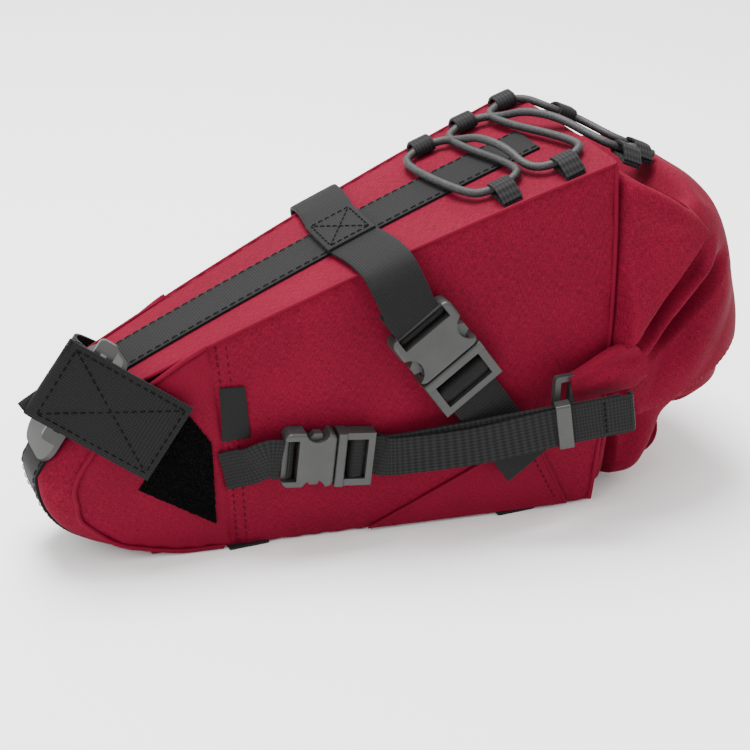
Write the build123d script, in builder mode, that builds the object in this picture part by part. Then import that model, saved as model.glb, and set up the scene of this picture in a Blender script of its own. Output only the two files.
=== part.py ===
from build123d import *
import os
from math import atan2, cos, pi, radians, sin, tan

os.makedirs("parts", exist_ok=True)

# A roll-top saddle bag lying on its underside, in millimetres.
# +X runs from the nose (seatpost end) to the roll top, +Z is up and the bag's left side faces -Y.
# Lengths along the bag are stations, measured rearwards from a datum just ahead of the nose.

# ---- overall sizes ----
FRONT = -190.0           # x of the station datum, so that x = 0 is near the middle of the underside
BODY_LENGTH = 284.0      # station of the mouth seam, where the sewn body ends
NOSE_HALF_WIDTH = 16.9   # half width of the body at the datum
MOUTH_HALF_WIDTH = 53.4  # half width of the body at the mouth seam
TOP_AT_DATUM = 64.1      # height of the top line carried forward to the datum
TOP_AT_MOUTH = 179.5     # height of the top line at the mouth seam
TOP_CROWN = 5.6          # rise of the top line above its chord
SIDE_BULGE = 9.0         # how far a filled side stands out at the mouth
NOSE_FLATNESS = 0.9      # share of that bulge which is lost towards the nose

# ---- cloth and webbing ----
FABRIC = 1.2             # laminated side cloth with its lining
WEB = 1.4                # thickness of every webbing
BASE = WEB               # the body stands on its underside webbing
SEAT = 0.4               # air between a strap and what it lies on
BODY_GAP = 0.4           # air between pieces on different bodies

# ---- nose outline, as (station, height) ----
CHIN_START = (66.0, BASE)
CHIN = (29.0, 16.5)
NOSE_TIP = (17.0, 46.0)
BROW = (44.0, 84.9)
BROW_RADIUS = 9.0
NOSE_SEAM_TOP = 95.0     # station of the nose panel's seam at the top line
NOSE_SEAM_BASE = 104.0   # and at the base

# ---- collar and roll ----
COLLAR_LENGTH = 50.0
COLLAR_DROP = 22.0       # how far the collar's top falls on its way to the roll
COLLAR_LIFT = 6.0        # how far its underside rises
ROLL_DEPTH = 45.0        # from the collar's end to the back of the roll
EAR_FRONT = 264.0        # station of the roll's ends, drawn forward along the sides
EAR_THICKNESS = 14.0
EAR_LOW = 50.0
EAR_HIGH = 90.0
STIFFENER = (3.0, 24.0)  # thickness and height of the strip rolled into the closure

# ---- side-release buckles: webbing, socket length, ladder length, width, thickness ----
SADDLE_WEB = 25.0
SADDLE_BUCKLE = (SADDLE_WEB, 27.0, 21.0, 34.0, 10.5)
SIDE_WEB = 20.0
SIDE_BUCKLE = (SIDE_WEB, 25.0, 18.5, 28.0, 9.5)
MOUTH_GAP = 0.4          # between the socket's mouth and the plug's shoulder
SOCKET_WALL = 3.0
SOCKET_SKIN = 2.0
BAR = 3.2                # the bars that webbing turns around
SLOT_CLEARANCE = 1.2     # extra width of a webbing slot
PRONG = 1.8              # thickness of a prong
PRONG_PIN = 1.7          # radius of the round foot that a prong turns on
PIN_CLEARANCE = 0.08

# ---- seatpost fastening ----
POST_WEB = 40.0
RING_BAR = 3.2
RING_GAP = 3.2
PLATE = 2.5
PLATE_WIDTH = 36.0

# ---- lashing cord ----
CORD = 4.0

WIDE = 150.0             # half width of a cut that passes right through
OVERRUN = 10.0           # how far the envelope runs past the top line and the base


def at(station):
    return FRONT + station


def half_width(station):
    return NOSE_HALF_WIDTH + (MOUTH_HALF_WIDTH - NOSE_HALF_WIDTH) * station / BODY_LENGTH


def top_height(station):
    share = station / BODY_LENGTH
    return TOP_AT_DATUM + (TOP_AT_MOUTH - TOP_AT_DATUM) * share + 4 * TOP_CROWN * share * (1 - share)


def bulge(station):
    return SIDE_BULGE * (1 - NOSE_FLATNESS * (1 - min(station / BODY_LENGTH, 1)) ** 2)


def side_half(station, height):
    """Half width of the body at a station and a height."""
    middle = top_height(station) / 2
    share = (height - middle) / (middle + OVERRUN)
    return half_width(station) + bulge(station) * (1 - share * share)


def left(station, height, stand_off):
    """A point on the left side, standing off the cloth."""
    return Vector(at(station), -side_half(station, height) - stand_off, height)


def keep(part, name):
    part.label = name
    export_step(part, f"parts/{name}.step")
    print(f"{name:34s} {len(part.solids())} solids, {part.volume:10.1f} mm3")


def mirrored(part):
    with BuildPart() as other:
        mirror(part, about=Plane.XZ)
    return other.part


def keep_pair(part, name):
    keep(part, f"{name}_left")
    keep(mirrored(part), f"{name}_right")


# ---------------------------------------------------------------- body

def section(station, w, low, high, swell):
    """One cross-section of the bag: flat above and below, with sides that swell out."""
    with BuildSketch(Plane.YZ.offset(at(station))) as cut:
        with BuildLine():
            Line((-w, low), (w, low))
            ThreePointArc((w, low), (w + swell, (low + high) / 2), (w, high))
            Line((w, high), (-w, high))
            ThreePointArc((-w, high), (-w - swell, (low + high) / 2), (-w, low))
        make_face()
    return cut.sketch.face()


def envelope(grow):
    """The tapering block whose sides are the bag's sides, moved outwards by grow."""
    stations = [BODY_LENGTH * share for share in (0, 0.33, 0.67, 1.1)]
    with BuildPart() as block:
        loft([
            section(s, half_width(s) + grow, -OVERRUN, top_height(s) + OVERRUN, bulge(s))
            for s in stations
        ])
    return block.part


def profile(grow):
    """The bag's outline seen from the side, moved outwards by grow, running past the mouth."""
    end = BODY_LENGTH * 1.08
    middle = (BROW[0] + end) / 2
    with BuildSketch(Plane.XZ) as outline:
        with BuildLine():
            Line((at(end), BASE), (at(CHIN_START[0]), BASE))
            ThreePointArc((at(CHIN_START[0]), BASE), (at(CHIN[0]), CHIN[1]), (at(NOSE_TIP[0]), NOSE_TIP[1]))
            Line((at(NOSE_TIP[0]), NOSE_TIP[1]), (at(BROW[0]), top_height(BROW[0])))
            ThreePointArc(
                (at(BROW[0]), top_height(BROW[0])),
                (at(middle), top_height(middle)),
                (at(end), top_height(end)),
            )
            Line((at(end), top_height(end)), (at(end), BASE))
        make_face()
        fillet(outline.vertices().sort_by(Axis.X)[1:4].sort_by(Axis.Z)[-1], radius=BROW_RADIUS)
        if grow:
            offset(amount=grow)
    return outline.sketch


ENVELOPE = envelope(0)
ENVELOPE_IN = envelope(-FABRIC)
MOUTH_PLANE = Plane.YZ.offset(at(BODY_LENGTH))


def region(points):
    """A prism through the left half, standing on stations and heights."""
    with BuildPart() as prism:
        with BuildSketch(Plane.XZ):
            with BuildLine():
                Polyline(*[(at(s), z) for s, z in points], close=True)
            make_face()
        extrude(amount=WIDE)
    return prism.part


def side_sheet(inner, outer, points):
    """A sheet lying on the left side, between two distances from the cloth."""
    with BuildPart() as sheet:
        add(envelope(outer))
        add(envelope(inner), mode=Mode.SUBTRACT)
        add(region(points), mode=Mode.INTERSECT)
    return sheet.part


with BuildPart() as side:
    add(ENVELOPE)
    add(ENVELOPE_IN, mode=Mode.SUBTRACT)
    extrude(profile(0), amount=WIDE, both=True, mode=Mode.INTERSECT)
    split(bisect_by=Plane.XZ, keep=Keep.TOP)
    split(bisect_by=MOUTH_PLANE, keep=Keep.BOTTOM)

nose_region = region([
    (-WIDE, -WIDE),
    (NOSE_SEAM_BASE, -WIDE),
    (NOSE_SEAM_BASE, BASE),
    (NOSE_SEAM_TOP, WIDE),
    (-WIDE, WIDE),
])
with BuildPart() as nose_side:
    add(side.part)
    add(nose_region, mode=Mode.INTERSECT)
keep_pair(nose_side.part, "nose_side")

with BuildPart() as main_side:
    add(side.part)
    add(nose_region, mode=Mode.SUBTRACT)
keep_pair(main_side.part, "main_side")

with BuildPart() as band:
    extrude(profile(0), amount=WIDE, both=True)
    extrude(profile(-FABRIC), amount=WIDE, both=True, mode=Mode.SUBTRACT)
    add(ENVELOPE_IN, mode=Mode.INTERSECT)
    split(bisect_by=MOUTH_PLANE, keep=Keep.BOTTOM)

GUSSET_END = Plane.YZ.offset(at(CHIN_START[0]))
with BuildPart() as nose_gusset:
    add(band.part)
    split(bisect_by=GUSSET_END, keep=Keep.BOTTOM)
keep(nose_gusset.part, "nose_gusset")

with BuildPart() as long_panels:
    add(band.part)
    split(bisect_by=GUSSET_END, keep=Keep.TOP)
base_panel = Part() + long_panels.part.solids().sort_by(Axis.Z)[0]
keep(base_panel, "base_panel")
top_panel = Part() + long_panels.part.solids().sort_by(Axis.Z)[-1]
keep(top_panel, "top_panel")

# a plastic sheet inside keeps the underside flat
SHEET = 1.5
SHEET_INSET = 5.0
with BuildPart() as base_stiffener:
    with BuildSketch(Plane.XY.offset(BASE + FABRIC)):
        with BuildLine():
            front_half = half_width(CHIN_START[0]) - FABRIC - SHEET_INSET
            rear_half = MOUTH_HALF_WIDTH - FABRIC - SHEET_INSET
            Polyline(
                (at(CHIN_START[0] + SHEET_INSET), -front_half),
                (at(BODY_LENGTH - SHEET_INSET), -rear_half),
                (at(BODY_LENGTH - SHEET_INSET), rear_half),
                (at(CHIN_START[0] + SHEET_INSET), front_half),
                close=True,
            )
        make_face()
    extrude(amount=SHEET)
keep(base_stiffener.part, "base_stiffener")

# ---------------------------------------------------------------- webbing sewn to the body
STRIP_END = 16.0         # the strips stop this far short of the mouth
with BuildPart() as strip_round:
    extrude(profile(WEB), amount=SADDLE_WEB / 2, both=True)
    extrude(profile(0), amount=WIDE, both=True, mode=Mode.SUBTRACT)
    split(bisect_by=Plane.YZ.offset(at(BODY_LENGTH - STRIP_END)), keep=Keep.BOTTOM)
with BuildPart() as centre_strip:
    add(strip_round.part)
    split(bisect_by=Plane.XY.offset(BASE), keep=Keep.TOP)
keep(centre_strip.part, "centre_strip")
with BuildPart() as base_strip:
    add(strip_round.part)
    split(bisect_by=Plane.XY.offset(BASE), keep=Keep.BOTTOM)
keep(base_strip.part, "base_strip")

BASE_TABS = (112.0, 246.0)
TAB_OVERHANG = 3.0
with BuildPart() as base_tabs:
    with BuildSketch(Plane.XY):
        for s in BASE_TABS:
            reach = half_width(s) + TAB_OVERHANG - SADDLE_WEB / 2
            for side_sign in (-1, 1):
                with Locations((at(s), side_sign * (SADDLE_WEB + reach) / 2)):
                    Rectangle(SIDE_WEB, reach)
    extrude(amount=BASE)
keep(base_tabs.part, "base_tabs")

WING = 0.8
WING_OUTLINE = [(170, BASE), (218, 29), (244, 43), (252, 41), (272, BASE)]
keep_pair(side_sheet(0, WING, WING_OUTLINE), "wing")

PATCH = 1.2
PATCH_OUTLINE = [(60, 40), (83, 76), (90, 71), (94, 58), (96, 17)]
keep(side_sheet(0, PATCH, PATCH_OUTLINE), "loop_patch")

TAB_OUTLINE = [(97.5, 60), (97.5, 88), (110, 88), (112, 61)]
keep(side_sheet(0, WING, TAB_OUTLINE), "side_tab")


# ---------------------------------------------------------------- straps and buckles

def side_normal(station, height):
    step = 1.0
    along = (side_half(station + step, height) - side_half(station - step, height)) / (2 * step)
    up = (side_half(station, height + step) - side_half(station, height - step)) / (2 * step)
    return Vector(-along, -1, -up).normalized()


def cross_section(point, along, outward, width, thickness):
    """A rectangle across a strap; outward is the side that the strap shows."""
    flat = outward - along * outward.dot(along)
    with BuildSketch(Plane(origin=point, x_dir=flat.cross(along), z_dir=along)) as cut:
        Rectangle(width, thickness)
    return cut.sketch.face()


def strap(path, width, thickness=WEB):
    """Webbing through a list of (centre, outward direction)."""
    centres = [point for point, outward in path]
    cuts = []
    for i, (point, outward) in enumerate(path):
        before = centres[max(i - 1, 0)]
        after = centres[min(i + 1, len(centres) - 1)]
        cuts.append(cross_section(point, (after - before).normalized(), outward, width, thickness))
    with BuildPart() as webbing:
        for i in range(len(cuts) - 1):
            loft([cuts[i], cuts[i + 1]], ruled=True)
    return webbing.part


def mouth(start, end, socket_length):
    """The plane of a buckle's mouth: x along the strap, z outwards."""
    along = (end - start).normalized()
    outward = Vector(0, -1, 0) - along * Vector(0, -1, 0).dot(along)
    return Plane(origin=start + along * socket_length, x_dir=along, z_dir=outward.normalized())


def edge_plane(plane):
    """The plane that a buckle's webbing is drawn on: x along the strap, y outwards."""
    return Plane(origin=plane.origin, x_dir=plane.x_dir, z_dir=-plane.y_dir)


def socket_half(plane, size):
    web, length, ladder, width, thick = size
    inner = width - 2 * SOCKET_WALL
    window = 0.21 * width
    with BuildPart() as socket:
        with BuildSketch(plane.offset(-thick / 2)):
            with Locations((-length / 2, 0)):
                RectangleRounded(length, width, 3.5)
        extrude(amount=thick)
        fillet(socket.faces().sort_by(Axis(plane.origin, plane.z_dir))[-1].edges(), radius=1.6)
        with BuildSketch(plane.offset(SOCKET_SKIN - thick / 2)):
            with Locations((1 - (length - 8) / 2, 0)):
                Rectangle(length - 6, inner)
        extrude(amount=thick - 2 * SOCKET_SKIN, mode=Mode.SUBTRACT)
        with BuildSketch(plane.offset(-thick)):
            with Locations((-9.5, width / 2 + 1.5), (-9.5, -width / 2 - 1.5)):
                Circle(window)
            with Locations((BAR + 1.9 - length, 0)):
                Rectangle(3.8, web + SLOT_CLEARANCE)
        extrude(amount=2 * thick, mode=Mode.SUBTRACT)
        for low in (BAR / 2, -thick):
            with BuildSketch(plane.offset(low)):
                with Locations((1.6 - length, 0)):
                    Rectangle(BAR + 0.4, web + SLOT_CLEARANCE)
            extrude(amount=thick - BAR / 2, mode=Mode.SUBTRACT)
    return socket.part


def ladder_bars(size):
    """Where a plug's bars stand: its shoulder, its middle bar and its end bar."""
    web, length, ladder, width, thick = size
    shoulder = 5.0
    slot = (ladder - shoulder - 2 * BAR) / 2
    return shoulder, shoulder + slot, ladder - BAR


def prong_pin(size):
    web, length, ladder, width, thick = size
    return 2.8, width / 2 - SOCKET_WALL - 0.5 - PRONG / 2


def plug_half(plane, size):
    web, length, ladder, width, thick = size
    shoulder, middle_bar, end_bar = ladder_bars(size)
    pin_x, pin_y = prong_pin(size)
    rail = (width - web - SLOT_CLEARANCE) / 2
    tongue = thick - 2 * SOCKET_SKIN - 1
    with BuildPart() as plug:
        with BuildSketch(plane.offset(-thick / 2)):
            with Locations(((shoulder + MOUTH_GAP) / 2, 0)):
                Rectangle(shoulder - MOUTH_GAP, width - 0.6)
        extrude(amount=thick)
        outer_face = plug.faces().sort_by(Axis(plane.origin, plane.z_dir))[-1]
        fillet(outer_face.edges().filter_by(Axis(plane.origin, plane.y_dir)), radius=1.2)
        with BuildSketch(plane.offset(-3.6)):
            with Locations(*[((shoulder + ladder) / 2, k * (width - 0.6 - rail) / 2) for k in (-1, 1)]):
                Rectangle(ladder - shoulder, rail)
        extrude(amount=7.2)
        for bar, low in ((middle_bar, -BAR / 2), (end_bar, 0.4)):
            with BuildSketch(plane.offset(low)):
                with Locations((bar + BAR / 2, 0)):
                    Rectangle(BAR, width - 2)
            extrude(amount=BAR)
        with BuildSketch(plane.offset(-tongue / 2)):
            with Locations((-6.5, 0)):
                Rectangle(15, 5.6)
        extrude(amount=tongue)
        with BuildSketch(plane.offset(-tongue / 2 - 0.4)):
            with Locations(*[(pin_x, k * pin_y) for k in (-1, 1)]):
                Circle(PRONG_PIN + PIN_CLEARANCE)
            with Locations(*[(0, k * pin_y) for k in (-1, 1)]):
                Rectangle(2 * pin_x, 3.0)
        extrude(amount=tongue + 0.8, mode=Mode.SUBTRACT)
    return plug.part


def prong(plane, size, hand):
    web, length, ladder, width, thick = size
    pin_x, pin_y = prong_pin(size)
    height = thick - 2 * SOCKET_SKIN - 1
    outer = pin_y + PRONG / 2
    pad = width / 2 - 0.7
    with BuildPart() as arm:
        with BuildSketch(plane.offset(-height / 2)):
            with Locations((pin_x, hand * pin_y)):
                Circle(PRONG_PIN)
            with BuildLine():
                Polyline(
                    (pin_x, hand * (outer - PRONG)),
                    (pin_x, hand * outer),
                    (-6.2, hand * outer),
                    (-7.2, hand * pad),
                    (-11.0, hand * pad),
                    (-13.0, hand * outer),
                    (-15.5, hand * (outer - PRONG / 2)),
                    (-15.5, hand * (outer - PRONG)),
                    close=True,
                )
            make_face()
        extrude(amount=height)
    return arm.part


def bar_turn(plane, bar_x, web, tail):
    """Webbing turned round a bar and laid back on itself, away from the buckle's mouth."""
    radius = BAR / 2 + 0.15 + WEB / 2
    corner = BAR / 2 - 0.55      # the round part stands clear of the bar's square corners
    with BuildPart() as turn:
        with BuildSketch(edge_plane(plane)):
            with Locations((bar_x + corner - tail / 2, 0)):
                SlotCenterToCenter(tail, 2 * radius + WEB)
                SlotCenterToCenter(tail, 2 * radius - WEB, mode=Mode.SUBTRACT)
            with Locations((bar_x + corner - tail, 0)):
                Rectangle(3 * radius, 4 * radius, mode=Mode.SUBTRACT)
        extrude(amount=web / 2, both=True)
    return turn.part


def ladder_turn(plane, size, run):
    """Webbing up through the ladder, over its middle bar and out under its end bar."""
    web, length, ladder, width, thick = size
    shoulder, middle_bar, end_bar = ladder_bars(size)
    above = BAR / 2 + 0.15 + WEB / 2
    below = -0.5
    rise = middle_bar - 0.15 - WEB / 2
    with BuildPart() as turn:
        with BuildSketch(edge_plane(plane)):
            with BuildLine() as route:
                Polyline(
                    (ladder + run, -above),
                    (rise, -above),
                    (rise, above),
                    (middle_bar + BAR + 0.85, above),
                    (end_bar - 0.4, below),
                    (ladder + run, below),
                )
            trace(route.line, line_width=WEB)
        extrude(amount=web / 2, both=True)
    return turn.part


def local_point(plane, x, z):
    return plane.origin + plane.x_dir * x + plane.z_dir * z


def keep_buckle(plane, size, name):
    keep_pair(socket_half(plane, size), f"{name}_socket")
    keep_pair(plug_half(plane, size), f"{name}_plug")
    keep_pair(prong(plane, size, 1), f"{name}_prong_a")
    keep_pair(prong(plane, size, -1), f"{name}_prong_b")
    pin_x, pin_y = prong_pin(size)
    for hand in (1, -1):
        foot = plane.origin + plane.x_dir * pin_x + plane.y_dir * hand * pin_y
        print(f"  {name} prong pin {hand:+d}: {foot}")
    print(f"  {name} mouth {plane.origin} along {plane.x_dir} outward {plane.z_dir}")


# saddle strap: over the top of the body, down each side to a buckle
SADDLE_STATION = 172.0
SADDLE_CLEARANCE = 2.8   # the straight buckle stands this far off the swollen side at its ends
saddle_thick = SADDLE_BUCKLE[4]
saddle_start = left(186, 116.5, saddle_thick / 2 + SADDLE_CLEARANCE)
saddle_end = left(214.5, 76, saddle_thick / 2 + SADDLE_CLEARANCE)
saddle_mouth = mouth(saddle_start, saddle_end, SADDLE_BUCKLE[1])
keep_buckle(saddle_mouth, SADDLE_BUCKLE, "saddle_buckle")

slope = atan2(top_height(SADDLE_STATION + 10) - top_height(SADDLE_STATION - 10), 20)
top_normal = Vector(-sin(slope), 0, cos(slope))
top_middle = Vector(at(SADDLE_STATION), 0, top_height(SADDLE_STATION)) + top_normal * (1.5 * WEB + SEAT)
edge_station = SADDLE_STATION + 3
edge_y = -side_half(edge_station, top_height(edge_station))
top_edge = Vector(at(edge_station), edge_y - 2, top_height(edge_station))
top_edge += top_normal * (1.5 * WEB + 2 * SEAT)
bar_x = BAR / 2 - SADDLE_BUCKLE[1]
turn_radius = BAR / 2 + 0.15 + WEB / 2
shoulder_point = local_point(saddle_mouth, bar_x - 20, turn_radius)
bend_normal = (top_normal + saddle_mouth.z_dir).normalized()
with BuildPart() as saddle_strap:
    add(
        strap(
            [
                (top_middle, top_normal),
                (top_middle + Vector(0, -6, 0), top_normal),
                (top_edge + Vector(0, 4, 0), top_normal),
                ((top_edge * 0.6 + shoulder_point * 0.4) + bend_normal * 2.6, bend_normal),
                (shoulder_point, saddle_mouth.z_dir),
                (local_point(saddle_mouth, bar_x - 8, turn_radius), saddle_mouth.z_dir),
            ],
            SADDLE_WEB,
        )
    )
    add(bar_turn(saddle_mouth, bar_x, SADDLE_WEB, 15))
keep_pair(saddle_strap.part, "saddle_strap")

# the lower webbing comes up from the wing, round the ladder, and hangs as a tail
TAIL = 50.0
TAIL_DIP = -4.6          # the tail is pressed down where the side strap crosses it
with BuildPart() as saddle_tail:
    add(ladder_turn(saddle_mouth, SADDLE_BUCKLE, 4))
    ladder_end = SADDLE_BUCKLE[2] + 3
    add(
        strap(
            [
                (local_point(saddle_mouth, ladder_end, -0.5), saddle_mouth.z_dir),
                (local_point(saddle_mouth, ladder_end + TAIL, TAIL_DIP), saddle_mouth.z_dir),
            ],
            SADDLE_WEB,
        )
    )
    add(
        strap(
            [
                (local_point(saddle_mouth, ladder_end, -turn_radius), saddle_mouth.z_dir),
                (left(234, 52, WING + 2.2), side_normal(234, 52)),
                (left(247, 38, WING + WEB / 2 + SEAT), side_normal(247, 38)),
            ],
            SADDLE_WEB,
        )
    )
keep_pair(saddle_tail.part, "saddle_tail")

# side compression strap: short webbing, buckle, long doubled strap to the roll's end
SIDE_CLEARANCE = 1.4
side_thick = SIDE_BUCKLE[4]
side_start = left(124, 52, side_thick / 2 + SIDE_CLEARANCE)
side_end = left(168, 48, side_thick / 2 + SIDE_CLEARANCE)
side_mouth = mouth(side_start, side_end, SIDE_BUCKLE[1])
keep_buckle(side_mouth, SIDE_BUCKLE, "side_buckle")

side_bar_x = BAR / 2 - SIDE_BUCKLE[1]
with BuildPart() as side_root:
    add(bar_turn(side_mouth, side_bar_x, SIDE_WEB, 11))
    add(
        strap(
            [
                (local_point(side_mouth, side_bar_x - 6, turn_radius), side_mouth.z_dir),
                (left(108, 47, WEB / 2 + 2.0), side_normal(108, 47)),
                (left(100, 45, WEB / 2 + SEAT), side_normal(100, 45)),
            ],
            SIDE_WEB,
        )
    )
keep_pair(side_root.part, "side_strap_root")

EAR_INNER = MOUTH_HALF_WIDTH + SIDE_BULGE + 0.9
EAR_OUTER = EAR_INNER + EAR_THICKNESS
DOUBLE_WEB = 2 * WEB + 0.2
strap_from = local_point(side_mouth, SIDE_BUCKLE[2] + 3, -1.475)
strap_to = Vector(at(EAR_FRONT + 25), -(EAR_OUTER + 9), 66)
KNEE_RISE = 2.4          # the strap steps outwards behind the buckle, clear of the saddle webbing
knee = strap_from + side_mouth.x_dir * 9 + side_mouth.z_dir * KNEE_RISE
run_out = (strap_to - knee).normalized()
run_face = (Vector(0, -1, 0) - run_out * Vector(0, -1, 0).dot(run_out)).normalized()
with BuildPart() as side_strap:
    add(ladder_turn(side_mouth, SIDE_BUCKLE, 4))
    add(
        strap([(strap_from, side_mouth.z_dir), (knee, run_face), (strap_to, run_face)], SIDE_WEB, DOUBLE_WEB)
    )
keep_pair(side_strap.part, "side_strap")

# a sliding keeper holds the doubled strap together
KEEPER_LENGTH = 7.0
KEEPER_WALL = 1.5
KEEPER_CLEARANCE = 0.4
KEEPER_BACK = 36.0       # how far the keeper stands from the strap's end
keeper_centre = strap_to - run_out * KEEPER_BACK
with BuildPart() as strap_keeper:
    with BuildSketch(Plane(origin=keeper_centre, x_dir=run_face.cross(run_out), z_dir=run_out)):
        grown = 2 * (KEEPER_CLEARANCE + KEEPER_WALL)
        RectangleRounded(SIDE_WEB + grown, DOUBLE_WEB + grown, 1.2)
        Rectangle(SIDE_WEB + 2 * KEEPER_CLEARANCE, DOUBLE_WEB + 2 * KEEPER_CLEARANCE, mode=Mode.SUBTRACT)
    extrude(amount=KEEPER_LENGTH / 2, both=True)
keep_pair(strap_keeper.part, "strap_keeper")
print(f"  keeper axis {run_out} at {keeper_centre}")

# the open hook that the roll's end is held by
HOOK = 3.0
hook_centre = Vector(at(EAR_FRONT - 6.5), -(EAR_INNER + 6), 73)
with BuildPart() as roll_hook:
    with BuildSketch(Plane(origin=hook_centre, x_dir=(1, 0, 0), z_dir=(0, -1, 0))):
        RectangleRounded(11, 19, 2)
        Rectangle(5, 13, mode=Mode.SUBTRACT)
    extrude(amount=HOOK / 2, both=True)
keep_pair(roll_hook.part, "roll_hook")

# ---------------------------------------------------------------- collar and roll-top closure
COLLAR_END = BODY_LENGTH + COLLAR_LENGTH
COLLAR_NARROWING = 2.0
mouth_half = side_half(BODY_LENGTH, TOP_AT_MOUTH)
mouth_swell = MOUTH_HALF_WIDTH + SIDE_BULGE - mouth_half


def collar_block(inset):
    drop = inset
    with BuildPart() as block:
        loft(
            [
                section(BODY_LENGTH, mouth_half - inset, BASE + drop, TOP_AT_MOUTH - drop, mouth_swell),
                section(
                    COLLAR_END,
                    mouth_half - COLLAR_NARROWING - inset,
                    BASE + COLLAR_LIFT + drop,
                    TOP_AT_MOUTH - COLLAR_DROP - drop,
                    mouth_swell,
                ),
            ]
        )
    return block.part


with BuildPart() as collar:
    add(collar_block(0))
    add(collar_block(FABRIC), mode=Mode.SUBTRACT)
keep(collar.part, "collar")

roll_front = COLLAR_END + BODY_GAP
roll_back = roll_front + ROLL_DEPTH
roll_top = TOP_AT_MOUTH - COLLAR_DROP
with BuildPart() as rolled_closure:
    with BuildSketch(Plane.XZ):
        with BuildLine():
            Spline(
                (at(roll_front), BASE + COLLAR_LIFT),
                (at(roll_front + 0.55 * ROLL_DEPTH), BASE + COLLAR_LIFT + 3),
                (at(roll_back - 3), 0.28 * roll_top),
                (at(roll_back - 2), 0.56 * roll_top),
                (at(roll_front + 0.62 * ROLL_DEPTH), 0.83 * roll_top),
                (at(roll_front), roll_top),
            )
            Line((at(roll_front), roll_top), (at(roll_front), BASE + COLLAR_LIFT))
        make_face()
    extrude(amount=WIDE, both=True)
    with BuildSketch(Plane.XY):
        with BuildLine():
            shoulder = EAR_INNER + 4
            Spline(
                (at(roll_front), -shoulder),
                (at(roll_front + 0.5 * ROLL_DEPTH), -0.86 * shoulder),
                (at(roll_back), 0),
                (at(roll_front + 0.5 * ROLL_DEPTH), 0.86 * shoulder),
                (at(roll_front), shoulder),
            )
            Line((at(roll_front), shoulder), (at(roll_front), -shoulder))
        make_face()
    extrude(amount=2 * WIDE, mode=Mode.INTERSECT)
    with BuildSketch(Plane.XY.offset(EAR_LOW)):
        for hand in (-1, 1):
            with BuildLine():
                Polyline(
                    (at(EAR_FRONT), hand * EAR_INNER),
                    (at(EAR_FRONT), hand * (EAR_OUTER - 3)),
                    (at(EAR_FRONT + 12), hand * EAR_OUTER),
                    (at(roll_front), hand * EAR_OUTER),
                    (at(roll_front + 14), hand * EAR_INNER),
                    close=True,
                )
            make_face()
    extrude(amount=EAR_HIGH - EAR_LOW)
    with BuildSketch(Plane.XY.offset((EAR_LOW + EAR_HIGH - STIFFENER[1]) / 2)):
        with Locations((at(roll_front + 0.5 * ROLL_DEPTH), 0)):
            Rectangle(STIFFENER[0], 1.5 * MOUTH_HALF_WIDTH)
    extrude(amount=STIFFENER[1], mode=Mode.SUBTRACT)
keep(rolled_closure.part, "rolled_closure")

with BuildPart() as mouth_stiffener:
    with BuildSketch(Plane.XY.offset((EAR_LOW + EAR_HIGH - STIFFENER[1]) / 2)):
        with Locations((at(roll_front + 0.5 * ROLL_DEPTH), 0)):
            Rectangle(STIFFENER[0], 1.5 * MOUTH_HALF_WIDTH)
    extrude(amount=STIFFENER[1])
keep(mouth_stiffener.part, "mouth_stiffener")

# ---------------------------------------------------------------- seatpost fastening
# Drawn across the seatpost: x stands off the nose's sloping face, y points to the bag's left
# and z runs up the seatpost. The origin is at the brow, where the nose meets the top.
face_up = (Vector(BROW[0], 0, top_height(BROW[0])) - Vector(NOSE_TIP[0], 0, NOSE_TIP[1])).normalized()
face_out = Vector(-face_up.Z, 0, face_up.X)
brow_point = Vector(at(BROW[0]), 0, top_height(BROW[0]))
post_plane = Plane(origin=brow_point, x_dir=face_out, z_dir=face_up)
POST_LOW = 40.0          # how far the plate reaches down the face from the brow
POST_HIGH = 19.0         # and how far it is carried over the top
STAND_OFF = 13.5         # the loop stands this far off the nose with no seatpost in it
turn_in = Vector(16, 21.2)   # where the strap's loose end leaves the ring
strap_end = Vector(-36, side_half(72, 62) + 6.4)

with BuildPart() as seatpost_plate:
    extrude(profile(WEB + PLATE), amount=PLATE_WIDTH / 2, both=True)
    extrude(profile(WEB), amount=WIDE, both=True, mode=Mode.SUBTRACT)
    with BuildSketch(Plane(origin=brow_point, x_dir=face_up, z_dir=face_out)):
        with Locations(((POST_HIGH - POST_LOW) / 2, 0)):
            RectangleRounded(POST_LOW + POST_HIGH, PLATE_WIDTH, 10)
    extrude(amount=3 * PLATE_WIDTH, both=True, mode=Mode.INTERSECT)
    split(bisect_by=Plane.XY.offset(NOSE_TIP[1]), keep=Keep.TOP)
plate_part = Part() + seatpost_plate.part.solids().sort_by(Axis.X)[0]
keep(plate_part, "seatpost_plate")

right_root = Vector(-26, -side_half(65, 70) - WEB / 2 - 3 * SEAT)
with BuildPart() as seatpost_strap:
    with BuildSketch(post_plane):
        with BuildLine() as loop_line:
            FilletPolyline(
                (right_root.X, right_root.Y),
                (4, right_root.Y + 4),
                (STAND_OFF - 1, -13),
                (STAND_OFF + 0.5, 6),
                (turn_in.X, turn_in.Y),
                radius=6,
            )
        trace(loop_line.line, line_width=WEB)
    extrude(amount=POST_WEB / 2, both=True)
keep(seatpost_strap.part, "seatpost_strap")

end_run = (strap_end - turn_in).normalized()
end_face = Vector(-end_run.Y, end_run.X) if -end_run.Y > 0 else Vector(end_run.Y, -end_run.X)
HOOK_TAPE = 1.2
HOOK_LENGTH = 36.0


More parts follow.
